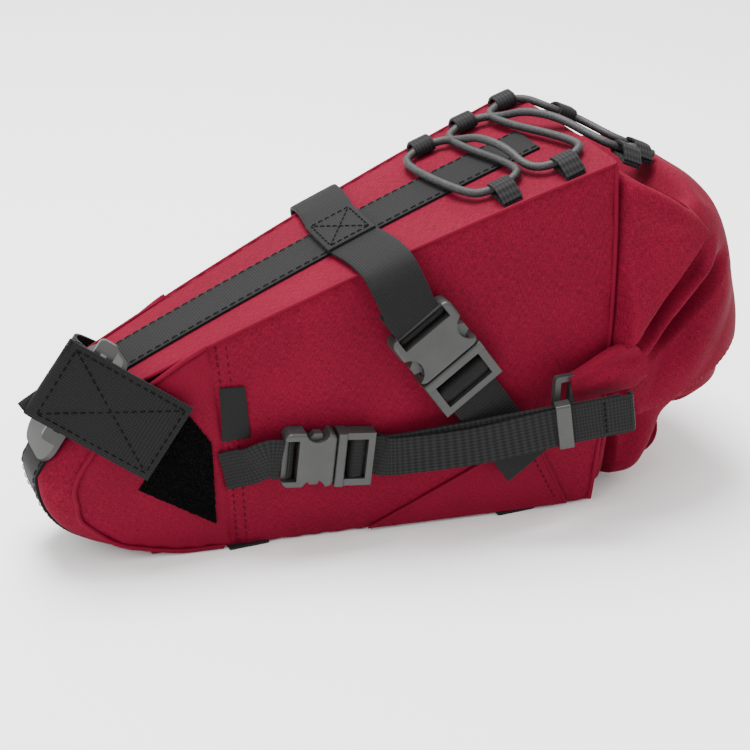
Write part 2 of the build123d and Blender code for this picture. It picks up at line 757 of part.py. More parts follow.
def band(start, stop, inner, outer, width):
    """A flat layer of the strap's loose end, between two distances along it and two depths."""
    corners = [
        turn_in + end_run * start + end_face * inner,
        turn_in + end_run * stop + end_face * inner,
        turn_in + end_run * stop + end_face * outer,
        turn_in + end_run * start + end_face * outer,
    ]
    with BuildPart() as layer:
        with BuildSketch(post_plane):
            with BuildLine():
                Polyline(*[(c.X, c.Y) for c in corners], close=True)
            make_face()
        extrude(amount=width / 2, both=True)
    return layer.part


end_length = (strap_end - turn_in).length
keep(band(WEB, end_length, -WEB / 2, WEB / 2, POST_WEB), "seatpost_strap_end")
hook_start = end_length - HOOK_LENGTH
keep(band(hook_start, end_length - 2, -WEB / 2 - HOOK_TAPE, -WEB / 2, POST_WEB - 3), "hook_patch")

BAR_ROOM = 0.85          # lets the strap swing round the ring's square bar
bar_reach = WEB / 2 + BAR_ROOM + RING_BAR / 2
bar_centre = turn_in - end_face * bar_reach + end_run * (bar_reach + WEB / 2)
ring_centre = bar_centre + end_run * (RING_GAP + RING_BAR) / 2
ring_origin = post_plane.from_local_coords(Vector(ring_centre.X, ring_centre.Y, 0))
ring_along = (post_plane.from_local_coords(end_run) - post_plane.origin).normalized()
ring_out = (post_plane.from_local_coords(end_face) - post_plane.origin).normalized()
with BuildPart() as seatpost_ring:
    with BuildSketch(Plane(origin=ring_origin, x_dir=ring_along, z_dir=ring_out)):
        RectangleRounded(RING_GAP + 2 * RING_BAR, POST_WEB + 14, 2.5)
        Rectangle(RING_GAP, POST_WEB + 2, mode=Mode.SUBTRACT)
    extrude(amount=RING_BAR / 2, both=True)
keep(seatpost_ring.part, "seatpost_ring")
bar_point = post_plane.from_local_coords(Vector(bar_centre.X, bar_centre.Y, 0))
print(f"  strap hinge at {bar_point} axis {-face_up} ring along {ring_along} out {ring_out}")

# ---------------------------------------------------------------- lashing cord and its loops
LOOP_WIDTH = 9.0
LOOP_BORE = 2.5
LOOP_LENGTH = 12.0
LOOP_INSET = 13.0        # from the side seam to the cord inside a loop
CORD_RISE = LOOP_BORE + WEB + 0.3
CORD_SPACING = CORD + 0.8
CROSSING_RISE = 5.6      # a strand that passes over another is lifted by this much
BORE_RUN = 7.5           # the cord stays straight this far either side of a loop's middle
LEAD = (6.5, 9.0)        # and then runs this far on and this far inwards, to start its turn
COLLAR_SLOPE = atan2(COLLAR_DROP, COLLAR_LENGTH)


def lid_point(station, y, rise):
    """A point over the body's top, or behind it over the falling top of the collar."""
    if station <= BODY_LENGTH:
        return Vector(at(station), y, top_height(station) + rise / cos(slope))
    fall = (station - BODY_LENGTH) * tan(COLLAR_SLOPE)
    return Vector(at(station), y, TOP_AT_MOUTH - fall + rise / cos(COLLAR_SLOPE))


def edge_loop(station, hand):
    return station, hand * (half_width(station) - LOOP_INSET)


FRONT_LEFT = edge_loop(236, -1)
MIDDLE_LEFT = edge_loop(266, -1)
REAR_LEFT = (304.0, -28.0)
FRONT_RIGHT = edge_loop(228, 1)
MIDDLE_RIGHT = edge_loop(252, 1)
REAR_RIGHT = edge_loop(275, 1)
COLLAR_RIGHT = (302.0, 26.0)
TAIL_LOOP = (326.5, 2.0)


def folded_loop(station, y, hand):
    """A strip of webbing folded round the cord, its ends towards the side seam."""
    ahead = lid_point(station - 4, y, CORD_RISE)
    behind = lid_point(station + 4, y, CORD_RISE)
    middle = lid_point(station, y, CORD_RISE)
    with BuildPart() as fold:
        with BuildSketch(Plane(origin=middle, x_dir=(0, hand, 0), z_dir=behind - ahead)):
            with Locations((LOOP_LENGTH / 2, 0)):
                SlotCenterToCenter(LOOP_LENGTH, 2 * (LOOP_BORE + WEB))
                SlotCenterToCenter(LOOP_LENGTH, 2 * LOOP_BORE, mode=Mode.SUBTRACT)
        extrude(amount=LOOP_WIDTH / 2, both=True)
    return fold.part


for name, hand, spots in (
    ("cord_loops_left", -1, (FRONT_LEFT, MIDDLE_LEFT, REAR_LEFT)),
    ("cord_loops_right", 1, (FRONT_RIGHT, MIDDLE_RIGHT, REAR_RIGHT, COLLAR_RIGHT)),
):
    with BuildPart() as loops:
        for station, y in spots:
            add(folded_loop(station, y, hand))
    keep(loops.part, name)
keep(folded_loop(*TAIL_LOOP, -1), "cord_tail_loop")


def bore(spot, heading):
    """The straight stretch in a loop: heading is 1 where the cord goes rearwards."""
    station, y = spot
    return [lid_point(station + k * heading * BORE_RUN, y, CORD_RISE) for k in (-1, 1)]


def lead(spot, hand, end):
    """The point that starts the cord's turn, ahead of the loop (end -1) or behind it (end 1)."""
    station, y = spot
    return lid_point(station + end * (BORE_RUN + LEAD[0]), y - hand * LEAD[1], CORD_RISE)


def through(spot, hand, heading):
    return [lead(spot, hand, -heading), *bore(spot, heading), lead(spot, hand, heading)]


def lifted(before, after, first, second):
    """Two points that carry a strand over the one it crosses."""
    lift = Vector(0, 0, CROSSING_RISE)
    return [before + (after - before) * first + lift, before + (after - before) * second + lift]


def tail(side):
    """One end of the cord, drawn through the tail loop and left to stick out."""
    station, y = TAIL_LOOP
    beside = y - LOOP_LENGTH / 2 + side * CORD_SPACING / 2
    return [lid_point(station + step, beside, CORD_RISE) for step in (-9, 8)]


middle_right = through(MIDDLE_RIGHT, 1, -1)
front_right = through(FRONT_RIGHT, 1, 1)
middle_left = through(MIDDLE_LEFT, -1, 1)
route = [
    *reversed(tail(-1)),
    *bore(REAR_LEFT, -1),
    lead(REAR_LEFT, -1, -1),
    *lifted(lead(REAR_LEFT, -1, -1), middle_right[0], 0.35, 0.72),
    *middle_right,
    *through(FRONT_LEFT, -1, -1),
    *front_right,
    *lifted(front_right[-1], middle_left[0], 0.3, 0.7),
    *middle_left,
    lead(REAR_RIGHT, 1, -1),
    *bore(REAR_RIGHT, 1),
    *bore(COLLAR_RIGHT, 1),
    *tail(1),
]

radii = []
for before, corner, after in zip(route, route[1:], route[2:]):
    turn = (corner - before).get_angle(after - corner)
    shorter = min((corner - before).length, (after - corner).length)
    radii.append(0.38 * shorter / tan(radians(turn / 2)))
print("cord radii", [round(r, 1) for r in radii])
with BuildPart() as bungee_cord:
    with BuildLine() as cord_line:
        FilletPolyline(*route, radius=radii)
    with BuildSketch(Plane(origin=route[0], z_dir=route[1] - route[0])):
        Circle(CORD / 2)
    sweep(path=cord_line.wires()[0])
length = cord_line.wires()[0].length
share = bungee_cord.part.volume / (length * pi * CORD**2 / 4)
print(f"cord length {length:.1f} mm, volume share {share:.4f}")
keep(bungee_cord.part, "bungee_cord")
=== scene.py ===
import bpy
from math import atan2, cos, pi, radians, sin, tan
from mathutils import Matrix, Vector, noise


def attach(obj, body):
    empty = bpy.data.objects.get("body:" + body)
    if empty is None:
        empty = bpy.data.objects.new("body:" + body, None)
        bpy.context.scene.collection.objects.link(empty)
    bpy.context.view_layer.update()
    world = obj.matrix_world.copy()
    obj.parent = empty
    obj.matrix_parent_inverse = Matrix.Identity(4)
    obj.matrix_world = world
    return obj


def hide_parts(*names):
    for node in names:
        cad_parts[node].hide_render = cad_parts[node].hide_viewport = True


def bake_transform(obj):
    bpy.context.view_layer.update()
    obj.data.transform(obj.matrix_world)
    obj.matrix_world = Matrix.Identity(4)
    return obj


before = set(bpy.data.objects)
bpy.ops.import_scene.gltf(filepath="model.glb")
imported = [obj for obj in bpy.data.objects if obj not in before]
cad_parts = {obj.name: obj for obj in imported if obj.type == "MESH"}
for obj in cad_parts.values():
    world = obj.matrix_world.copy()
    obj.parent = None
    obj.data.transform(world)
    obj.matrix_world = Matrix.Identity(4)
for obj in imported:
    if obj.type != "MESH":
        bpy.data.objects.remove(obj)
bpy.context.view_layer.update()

bpy.ops.object.select_all(action='DESELECT')

# ---- the sewn body ----
# Cut from one cloth: two tapering sides, a top, a base and a band round the nose, sewn with the
# raw edges inside. The cloth is a heathered nylon that puckers a little beside every seam.
FRONT = -0.190
BODY_LENGTH = 0.284
TOP_AT_MOUTH = 0.1795
CLOTH = 0.0010
BASE = 0.0014
TOP_CROWN = 0.0056
SIDE_BULGE = 0.009
NOSE_SEAM_TOP, NOSE_SEAM_BASE = 0.095, 0.104
BROW_STATION = 0.044


def half_width(s):
    return 0.0169 + (0.0534 - 0.0169) * s / BODY_LENGTH


def top_height(s):
    share = s / BODY_LENGTH
    return 0.0641 + (TOP_AT_MOUTH - 0.0641) * share + 4 * TOP_CROWN * share * (1 - share)


def side_half(s, z):
    swell = SIDE_BULGE * (1 - 0.9 * (1 - min(s / BODY_LENGTH, 1)) ** 2)
    middle = top_height(s) / 2
    share = (z - middle) / (middle + 0.010)
    return half_width(s) + swell * (1 - share * share)


def smooth(low, high, value):
    t = min(max((value - low) / (high - low), 0.0), 1.0)
    return t * t * (3 - 2 * t)


def mix(a, b, t):
    return a + (b - a) * t


def creases(p, size, height, seed):
    """Soft cloth creases: ridged noise, so that the folds are long and the hollows wide."""
    q = Vector(p) / size + Vector((seed, 2 * seed, 3 * seed))
    return height * (0.5 - abs(noise.noise(q)) * 2)


def shaped_grid(name, columns, rows, place, length, width):
    """A flat grid laid out by a formula: u runs along the piece, v across it, and the UV map is in metres."""
    bpy.ops.mesh.primitive_grid_add(x_subdivisions=columns, y_subdivisions=rows, size=1)
    piece = bpy.context.object
    piece.name = name
    mesh = piece.data
    uvs = mesh.uv_layers.active.data
    spots = [(v.co.x + 0.5, v.co.y + 0.5) for v in mesh.vertices]
    for loop in mesh.loops:
        u, v = spots[loop.vertex_index]
        uvs[loop.index].uv = (u * length, v * width)
    for vertex, (u, v) in zip(mesh.vertices, spots):
        vertex.co = place(u, v)
    return piece


def select_only(piece):
    bpy.ops.object.select_all(action='DESELECT')
    bpy.context.view_layer.objects.active = piece
    piece.select_set(True)


def close_up(weld=0.0, holes=0):
    """Welds the selected piece's seam, closes its ends and turns its faces outwards."""
    bpy.ops.object.mode_set(mode='EDIT')
    bpy.ops.mesh.select_all(action='SELECT')
    if weld:
        bpy.ops.mesh.remove_doubles(threshold=weld)
    if holes:
        bpy.ops.mesh.fill_holes(sides=holes)
    bpy.ops.mesh.normals_make_consistent(inside=False)
    bpy.ops.object.mode_set(mode='OBJECT')


def thicken(piece, thickness, offset, edge=0.0):
    """Gives cloth or webbing its thickness, rounds its edges and turns its faces outwards."""
    select_only(piece)
    solid = piece.modifiers.new("thickness", 'SOLIDIFY')
    solid.thickness = thickness
    solid.offset = offset
    bpy.ops.object.modifier_apply(modifier=solid.name)
    close_up()
    if edge:
        bevel = piece.modifiers.new("edge", 'BEVEL')
        bevel.width = edge
        bevel.segments = 2
        bevel.limit_method = 'ANGLE'
        bevel.angle_limit = radians(50)
        bpy.ops.object.modifier_apply(modifier=bevel.name)
    bpy.ops.object.shade_smooth_by_angle(angle=radians(45))
    piece.select_set(False)


def finish_material(name, roughness, colour):
    material = bpy.data.materials.new(name)
    material.use_nodes = True
    shader = material.node_tree.nodes["Principled BSDF"]
    shader.inputs["Roughness"].default_value = roughness
    shader.inputs["Base Color"].default_value = (*colour, 1)
    return material, material.node_tree, shader


def add_node(tree, kind, inputs=(), **settings):
    node = tree.nodes.new(kind)
    for key, value in settings.items():
        setattr(node, key, value)
    for key, value in inputs:
        if isinstance(value, bpy.types.NodeSocket):
            tree.links.new(value, node.inputs[key])
        else:
            node.inputs[key].default_value = value
    return node


def noise_of(tree, source, scale, detail, roughness=0.5):
    inputs = [("Vector", source), ("Scale", scale), ("Detail", detail), ("Roughness", roughness)]
    return add_node(tree, 'ShaderNodeTexNoise', inputs).outputs[0]


def sum_of(tree, operation, *values):
    return add_node(tree, 'ShaderNodeMath', list(enumerate(values)), operation=operation).outputs[0]


def coloured(tree, shader, source, dark, light, low=0.0, high=1.0):
    """Colours a finish from dark to light while source goes from low to high."""
    ramp = add_node(tree, 'ShaderNodeValToRGB', [("Fac", source)])
    for stop, place, colour in zip(ramp.color_ramp.elements, (low, high), (dark, light)):
        stop.position = place
        stop.color = (*colour, 1)
    tree.links.new(ramp.outputs[0], shader.inputs["Base Color"])


def raised(tree, shader, source, strength, distance):
    """Raises a finish's surface where source is high."""
    bump = add_node(tree, 'ShaderNodeBump', [("Height", source), ("Strength", strength), ("Distance", distance)])
    tree.links.new(bump.outputs[0], shader.inputs["Normal"])


def thread_noise(tree, source, along, across):
    """Short streaks like single threads: along and across are a streak's two sizes in metres."""
    scale = (1 / along, 1 / across, 1 / across)
    mapping = add_node(tree, 'ShaderNodeMapping', [("Vector", source), ("Scale", scale)])
    return noise_of(tree, mapping.outputs[0], 1.0, 2.0, 0.6)


def heather_cloth(name, dark, light, spread):
    """Nylon cloth of mixed threads: fine crossed streaks, cloudy patches and a weave in the bump."""
    material, tree, shader = finish_material(name, 0.78, light)
    where = add_node(tree, 'ShaderNodeUVMap').outputs["UV"]
    body = add_node(tree, 'ShaderNodeTexCoord').outputs["Object"]
    warp = thread_noise(tree, where, 0.0030, 0.00024)
    weft = thread_noise(tree, where, 0.00024, 0.0024)
    cloud = noise_of(tree, body, 30.0, 3.0)
    weave = sum_of(tree, 'MULTIPLY', sum_of(tree, 'ADD', warp, weft), 0.5)
    clouded = sum_of(tree, 'MULTIPLY_ADD', cloud, 0.12, weave)
    coloured(tree, shader, clouded, dark, light, 0.56 - spread, 0.56 + spread)
    raised(tree, shader, weave, 0.25, 0.00015)
    shader.inputs["Specular IOR Level"].default_value = 0.10
    return material


red_cloth = heather_cloth("heather_cloth", (0.060, 0.0004, 0.006), (0.165, 0.0020, 0.019), 0.11)


def seam_pinch(distance, depth=0.0009, reach=0.005):
    """How far the cloth is drawn in beside a seam."""
    return depth * (1 - smooth(0, reach, distance))


def side_point(s, z, hand, edge, seed):
    """A point on a side panel: edge is its distance to the nearest seam."""
    p = Vector((FRONT + s, 0, z))
    fill = smooth(0.0, 0.03, edge)
    sway = creases((s, hand * 0.3, z), 0.045, 0.0009, seed) * fill
    pucker = 0.00035 * sin(2 * pi * (s + 0.4 * z) / 0.011 + 2 * noise.noise(p * 90))
    pucker *= 1 - smooth(0.001, 0.010, edge)
    y = side_half(s, z) - seam_pinch(edge) + sway + pucker
    return Vector((FRONT + s, hand * y, z))


def nose_outline(t):
    """The nose seen from the side, from the base seam round the front to the top seam."""
    chin, chin_mid, tip = Vector((0.066, BASE)), Vector((0.029, 0.0165)), Vector((0.017, 0.046))
    brow = Vector((BROW_STATION, top_height(BROW_STATION)))
    runs = [NOSE_SEAM_BASE - chin.x, 0.062, 0.0435, 0.0085, 0.0485]
    reach = t * sum(runs)
    if reach < runs[0]:
        return Vector((NOSE_SEAM_BASE - reach, BASE))
    reach -= runs[0]
    if reach < runs[1]:
        k = reach / runs[1]
        pull = chin_mid * 2 - (chin + tip) / 2
        return chin * (1 - k) ** 2 + pull * 2 * k * (1 - k) + tip * k * k
    reach -= runs[1]
    start = tip.lerp(brow, 0.905)
    end = Vector((BROW_STATION + 0.0045, top_height(BROW_STATION + 0.0045)))
    if reach < runs[2]:
        return tip.lerp(start, reach / runs[2])
    reach -= runs[2]
    if reach < runs[3]:
        k = reach / runs[3]
        return start * (1 - k) ** 2 + brow * 2 * k * (1 - k) + end * k * k
    s = mix(end.x, NOSE_SEAM_TOP, (reach - runs[3]) / runs[4])
    return Vector((s, top_height(s)))


NOSE_INSETS = (                  # share of the outline, and how far the seam lies inside it
    (0.0, 0.0), (0.10, 0.0), (0.22, 0.0035), (0.34, 0.0080),
    (0.44, 0.0125), (0.66, 0.0110), (0.76, 0.0060), (1.0, 0.0),
)


def nose_rim(t):
    """The seam between a nose side and the band: set in from the outline, which the band bulges out to."""
    for (a, low), (b, high) in zip(NOSE_INSETS, NOSE_INSETS[1:]):
        if t <= b:
            depth = mix(low, high, smooth(a, b, t))
            break
    total = Vector((0, 0))
    for k in (-3, -2, -1, 0, 1, 2, 3):
        spot = min(max(t + k * 2.2 * depth, 0), 1)
        run = (nose_outline(min(spot + 0.02, 1)) - nose_outline(max(spot - 0.02, 0))).normalized()
        total += nose_outline(spot) + Vector((run.y, -run.x)) * depth
    return total / 7


for hand, side in ((-1, "left"), (1, "right")):

    def nose_place(u, v):
        rim = nose_rim(v)
        seam = Vector((mix(NOSE_SEAM_BASE, NOSE_SEAM_TOP, v), mix(BASE, top_height(NOSE_SEAM_TOP), v)))
        p = rim.lerp(seam, u)
        return side_point(p.x, p.y, hand, min((p - rim).length, (p - seam).length * 1.5 + 0.001), 3.1)

    def main_place(u, v):
        front = mix(NOSE_SEAM_BASE, NOSE_SEAM_TOP, v) - 0.0004
        s = mix(front, BODY_LENGTH + 0.001, u)
        z = mix(BASE, top_height(s), v)
        edge = min(z - BASE, top_height(s) - z, (s - front) * 1.5, (BODY_LENGTH + 0.001 - s) + 0.0015)
        return side_point(s, z, hand, edge, 1.7)

    nose_side = shaped_grid(f"nose_side_cloth_{side}", 34, 110, nose_place, 0.09, 0.2)
    thicken(nose_side, CLOTH, hand)
    main_side = shaped_grid(f"main_side_cloth_{side}", 110, 90, main_place, 0.19, 0.15)
    thicken(main_side, CLOTH, hand)
    for piece, node in ((nose_side, f"nose_side_{side}"), (main_side, f"main_side_{side}")):
        piece.data.materials.append(red_cloth)
        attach(piece, "bag")
        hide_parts(node)


def band_place(u, v):
    t = mix(0.10, 0.80, u)
    rim = nose_rim(t)
    half = side_half(rim.x, rim.y) - 0.0006
    y = mix(-half, half, v)
    over = smooth(0.0, 1.0, (abs(y) / half - 0.56) / 0.44)
    p = nose_outline(t).lerp(rim, 1 - (1 - over**1.6) ** 0.7)
    return Vector((FRONT + p.x, y, p.y))


def top_place(u, v):
    s = mix(BROW_STATION + 0.003, BODY_LENGTH + 0.001, u)
    half = side_half(s, top_height(s)) - 0.0004
    y = mix(-half, half, v)
    edge = half - abs(y)
    lift = 0.0010 * smooth(0, 0.02, edge) * (1 - 0.4 * smooth(0.02, 0.05, abs(y)))
    sway = creases((s, y, 0.1), 0.05, 0.0009, 5.3) * smooth(0, 0.015, edge) * smooth(0.012, 0.02, abs(y))
    hem = 0.0012 * (1 - smooth(0.0, 0.006, BODY_LENGTH + 0.001 - s))
    return Vector((FRONT + s, y, top_height(s) + lift * 0.3 + sway - seam_pinch(edge, 0.0006) + hem))


def base_place(u, v):
    s = mix(0.066, BODY_LENGTH, u)
    half = half_width(s) + 0.0004
    return Vector((FRONT + s, mix(half, -half, v), BASE))


band = shaped_grid("nose_band_cloth", 90, 40, band_place, 0.15, 0.05)
thicken(band, CLOTH, -1)
top = shaped_grid("top_cloth", 120, 50, top_place, 0.24, 0.1)
thicken(top, CLOTH, -1)
base = shaped_grid("base_cloth", 60, 20, base_place, 0.22, 0.1)
thicken(base, CLOTH, -1)
for piece, node in ((band, "nose_gusset"), (top, "top_panel"), (base, "base_panel")):
    piece.data.materials.append(red_cloth)
    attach(piece, "bag")
    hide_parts(node)

# ---- seam cords and stitching ----
# Each long seam is bound inside, which leaves a firm narrow roll along the edge. The nose panel's
# seam is sewn down again beside itself with two rows of thread a shade darker than the cloth.
def thread(name, colour, dark, light):
    material, tree, shader = finish_material(name, 0.6, colour)
    shader.inputs["Specular IOR Level"].default_value = 0.08
    flecks = add_node(tree, 'ShaderNodeTexNoise', [("Scale", 900.0)])
    coloured(tree, shader, flecks.outputs[0], dark, light)
    return material


red_thread = thread("red_thread", (0.34, 0.012, 0.04), (0.030, 0.0003, 0.003), (0.085, 0.001, 0.009))
black_thread = thread("black_thread", (0.03, 0.03, 0.03), (0.0002, 0.0002, 0.0002), (0.0022, 0.0022, 0.0024))


def round_line(name, kind, points, radius, resolution, material, order=4, steps=12):
    """A round bead or cord along a line of points."""
    data = bpy.data.curves.new(name, 'CURVE')
    data.dimensions = '3D'
    spline = data.splines.new(kind)
    spline.points.add(len(points) - 1)
    for spot, p in zip(spline.points, points):
        spot.co = (*p, 1)
    spline.order_u = order
    spline.use_endpoint_u = True
    data.resolution_u = steps
    data.bevel_depth = radius
    data.bevel_resolution = resolution
    data.use_fill_caps = True
    bead = bpy.data.objects.new(name, data)
    bpy.context.collection.objects.link(bead)
    select_only(bead)
    bpy.ops.object.convert(target='MESH')
    bead = bpy.context.object
    bpy.ops.object.shade_smooth()
    bead.select_set(False)
    bead.data.materials.clear()
    bead.data.materials.append(material)
    return bead


def roll_line(name, points, radius, material):
    return round_line(name, 'POLY', points, radius, 2, material)


def stitches(name, points, outward, material, length=0.0026, gap=0.0012, thick=0.00035):
    """A row of sewn stitches along a line, each one a short low bar that dips at its ends."""
    verts, faces = [], []
    lengths = [0.0]
    for a, b in zip(points, points[1:]):
        lengths.append(lengths[-1] + (b - a).length)

    def spot(reach):
        reach = min(max(reach, 0), lengths[-1])
        i = max(k for k in range(len(points) - 1) if lengths[k] <= reach)
        share = (reach - lengths[i]) / max(lengths[i + 1] - lengths[i], 1e-9)
        return points[i].lerp(points[i + 1], share)

    reach = 0.0
    while reach + length < lengths[-1]:
        a, b = spot(reach), spot(reach + length)
        along = (b - a).normalized()
        up = (outward - along * outward.dot(along)).normalized()
        across = along.cross(up)
        base = len(verts)
        for share, rise, half in ((0, -0.3, 0.55), (0.25, 0.75, 1.0), (0.75, 0.75, 1.0), (1, -0.3, 0.55)):
            middle = a.lerp(b, share) + up * thick * rise
            for x, y in ((1, 0), (0, 0.8), (-1, 0), (0, -0.8)):
                verts.append(middle + across * thick * half * x + up * thick * half * y)
        for ring in range(3):
            for k in range(4):
                p, q = base + ring * 4 + k, base + ring * 4 + (k + 1) % 4
                faces.append((p, q, q + 4, p + 4))
        faces.append((base + 3, base + 2, base + 1, base))
        faces.append((base + 12, base + 13, base + 14, base + 15))
        reach += length + gap
    mesh = bpy.data.meshes.new(name)
    mesh.from_pydata(verts, [], faces)
    piece = bpy.data.objects.new(name, mesh)
    bpy.context.collection.objects.link(piece)
    select_only(piece)
    close_up()
    bpy.ops.object.shade_smooth()
    piece.select_set(False)
    mesh.materials.append(material)
    return piece


for hand, side in ((-1, "left"), (1, "right")):
    rim = []
    for i in range(140):
        s = mix(0.050, BODY_LENGTH + 0.001, i / 139)
        rim.append(Vector((FRONT + s, hand * (side_half(s, top_height(s)) - 0.0006), top_height(s) - 0.0003)))
    nose_line = [nose_rim(mix(0.02, 0.99, i / 110)) for i in range(111)]
    nose_line = [Vector((FRONT + p.x, hand * (side_half(p.x, p.y) + 0.0002), p.y + 0.0003)) for p in nose_line]
    hem = []
    for i in range(60):
        z = mix(BASE + 0.001, top_height(BODY_LENGTH) - 0.0005, i / 59)
        hem.append(Vector((FRONT + BODY_LENGTH + 0.0008, hand * (side_half(BODY_LENGTH, z) - 0.0003), z)))
    rows = []
    for step in (0.0022, 0.0068):
        rows.append([])
        for i in range(50):
            v = mix(0.01, 0.99, i / 49)
            s = mix(NOSE_SEAM_BASE, NOSE_SEAM_TOP, v) + step
            z = mix(BASE, top_height(s), v)
            rows[-1].append(Vector((FRONT + s, hand * (side_half(s, z) - 0.0001), z)))
    pieces = [
        roll_line(f"top_seam_{side}", rim, 0.0009, red_cloth),
        roll_line(f"nose_seam_{side}", nose_line, 0.0012, red_cloth),
        roll_line(f"mouth_hem_{side}", hem, 0.0012, red_cloth),
        stitches(f"nose_stitching_a_{side}", rows[0], Vector((0, hand, 0)), red_thread),
        stitches(f"nose_stitching_b_{side}", rows[1], Vector((0, hand, 0)), red_thread),
    ]
    for piece in pieces:
        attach(piece, "bag")

# ---- centre strip, base webbing and tabs ----
# Flat polyester webbing, 25 mm wide, sewn over the top seam line, down the nose and back under the
# bag. It has a low lengthwise rib and a dashed row of stitching just inside each edge.
WEB = 0.0014
SADDLE_WEB = 0.025
SIDE_WEB = 0.020


def webbing_finish(name, dark, light, rib, cross):
    """Black webbing: ribs along its length, finer picks across it, a painted highlight on each crown and painted
    shade in the hollows.
    """
    material, tree, shader = finish_material(name, 0.72, light)
    where = add_node(tree, 'ShaderNodeUVMap').outputs["UV"]
    body = add_node(tree, 'ShaderNodeTexCoord').outputs["Object"]
    parts = add_node(tree, 'ShaderNodeSeparateXYZ', [(0, where)])
    ribs = sum_of(tree, 'SINE', sum_of(tree, 'MULTIPLY', parts.outputs[1], 2 * pi / rib))
    picks = sum_of(tree, 'SINE', sum_of(tree, 'MULTIPLY', parts.outputs[0], 2 * pi / cross))
    weave = sum_of(tree, 'MULTIPLY_ADD', ribs, 0.9, picks)
    height = sum_of(tree, 'MULTIPLY_ADD', noise_of(tree, body, 1100.0, 2.0), 1.6, weave)
    # The colour follows the weave's height, with random flecks mixed in: a painted highlight on the crowns and
    # painted shade in the hollows between ribs and picks.
    coloured(tree, shader, sum_of(tree, 'MULTIPLY_ADD', height, 0.22, 0.32), dark, light, 0.2, 0.95)
    raised(tree, shader, height, 0.45, 0.00010)
    shader.inputs["Sheen Weight"].default_value = 0.03
    shader.inputs["Sheen Roughness"].default_value = 0.5
    shader.inputs["Specular IOR Level"].default_value = 0.14
    return material


plain_web = webbing_finish("plain_webbing", (0.0022, 0.0022, 0.0024), (0.0105, 0.0105, 0.0112), 0.0012, 0.0009)
ribbed_web = webbing_finish("ribbed_webbing", (0.0018, 0.0018, 0.002), (0.0125, 0.0125, 0.013), 0.0018, 0.0012)
dark_rib = webbing_finish("loop_webbing", (0.0025, 0.0025, 0.003), (0.018, 0.0165, 0.018), 0.0018, 0.0012)


def eased(path, steps):
    """A smooth line of (centre, outward) through the given ones."""
    out = []
    for i in range(len(path) - 1):
        ends = [path[max(i - 1, 0)], path[i], path[i + 1], path[min(i + 2, len(path) - 1)]]
        for k in range(steps):
            t = k / steps
            weights = (
                -0.5 * t**3 + t**2 - 0.5 * t,
                1.5 * t**3 - 2.5 * t**2 + 1,
                -1.5 * t**3 + 2 * t**2 + 0.5 * t,
                0.5 * t**3 - 0.5 * t**2,
            )
            point = sum((e[0] * w for e, w in zip(ends, weights)), Vector())
            out.append((point, path[i][1].lerp(path[i + 1][1], t).normalized()))
    out.append(path[-1])
    return out


def webbing(name, path, width, material, steps=8, thickness=WEB, wave=0.0):
    """A flat woven band through a list of (centre, outward direction)."""
    line = eased(path, steps) if steps > 1 else path
    lengths = [0.0]
    for a, b in zip(line, line[1:]):
        lengths.append(lengths[-1] + (b[0] - a[0]).length)
    frames = []
    for i, (point, outward) in enumerate(line):
        along = (line[min(i + 1, len(line) - 1)][0] - line[max(i - 1, 0)][0]).normalized()
        up = (outward - along * outward.dot(along)).normalized()
        frames.append((point, along.cross(up), up))

    def place(u, v):
        i = min(int(round(u * (len(line) - 1))), len(line) - 1)
        point, across, up = frames[i]
        y = (v - 0.5) * width
        edge = 1 - abs(2 * v - 1)
        ripple = wave * noise.noise(Vector((lengths[i] * 40, y * 30, width * 700)))
        return point + across * y + up * (ripple - 0.00018 * (1 - smooth(0, 0.12, edge)))

    band = shaped_grid(name, len(line) - 1, 12, place, lengths[-1], width)
    thicken(band, thickness, 0, 0.0003)
    band.data.materials.append(material)
    return band


def top_spot(s, y, rise):
    slope = atan2(top_height(s + 0.005) - top_height(s - 0.005), 0.010)
    return Vector((FRONT + s - rise * sin(slope), y, top_height(s) + rise * cos(slope)))


def edge_stitching(name, line, width, material, inset=0.0016, rise=0.0009):
    """Two rows of stitches, one inside each edge of a band."""
    for hand, letter in ((-1, "a"), (1, "b")):
        points = []
        for i, (point, outward) in enumerate(line):
            along = (line[min(i + 1, len(line) - 1)][0] - line[max(i - 1, 0)][0]).normalized()
            up = (outward - along * outward.dot(along)).normalized()
            points.append(point + along.cross(up) * hand * (width / 2 - inset) + up * rise)
        row = stitches(f"{name}_{letter}", points, line[len(line) // 2][1], material, 0.0030, 0.0014, 0.0003)
        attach(row, "bag")


STRIP_END = BODY_LENGTH - 0.016
strip_path = []
for i in range(34):
    rim = nose_outline(mix(0.17, 0.80, i / 33))
    ahead, behind = (nose_outline(mix(0.17, 0.80, (i + step) / 33)) for step in (0.5, -0.5))
    run = (ahead - behind).normalized()
    up = Vector((-run.y, 0, run.x))
    strip_path.append((Vector((FRONT + rim.x, 0, rim.y)) + up * WEB * 0.55, up))
for i in range(1, 30):
    s = mix(nose_outline(0.80).x, STRIP_END, i / 29)
    strip_path.append((top_spot(s, 0, WEB * 0.75), (top_spot(s, 0, 1) - top_spot(s, 0, 0))))
strip = webbing("centre_webbing", strip_path, SADDLE_WEB, plain_web, 2)
edge_stitching("centre_stitching", strip_path[8:], SADDLE_WEB, black_thread)
under_path = [(Vector((FRONT + s, 0, BASE / 2)), Vector((0, 0, -1))) for s in (0.066, 0.12, 0.20, STRIP_END)]
under = webbing("base_webbing", under_path, SADDLE_WEB, plain_web, 8)
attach(strip, "bag")
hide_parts("centre_strip")
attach(under, "bag")
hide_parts("base_strip")
tabs = []
for s in (0.112, 0.246):
    for hand in (-1, 1):
        reach = half_width(s) + 0.0030
        path = [(Vector((FRONT + s, hand * y, BASE / 2)), Vector((0, 0, -1))) for y in (0.0125, 0.02, reach)]
        tabs.append(webbing(f"base_tab_{len(tabs)}", path, SIDE_WEB, ribbed_web, 4))
for piece in tabs:
    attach(piece, "bag")
    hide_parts("base_tabs")

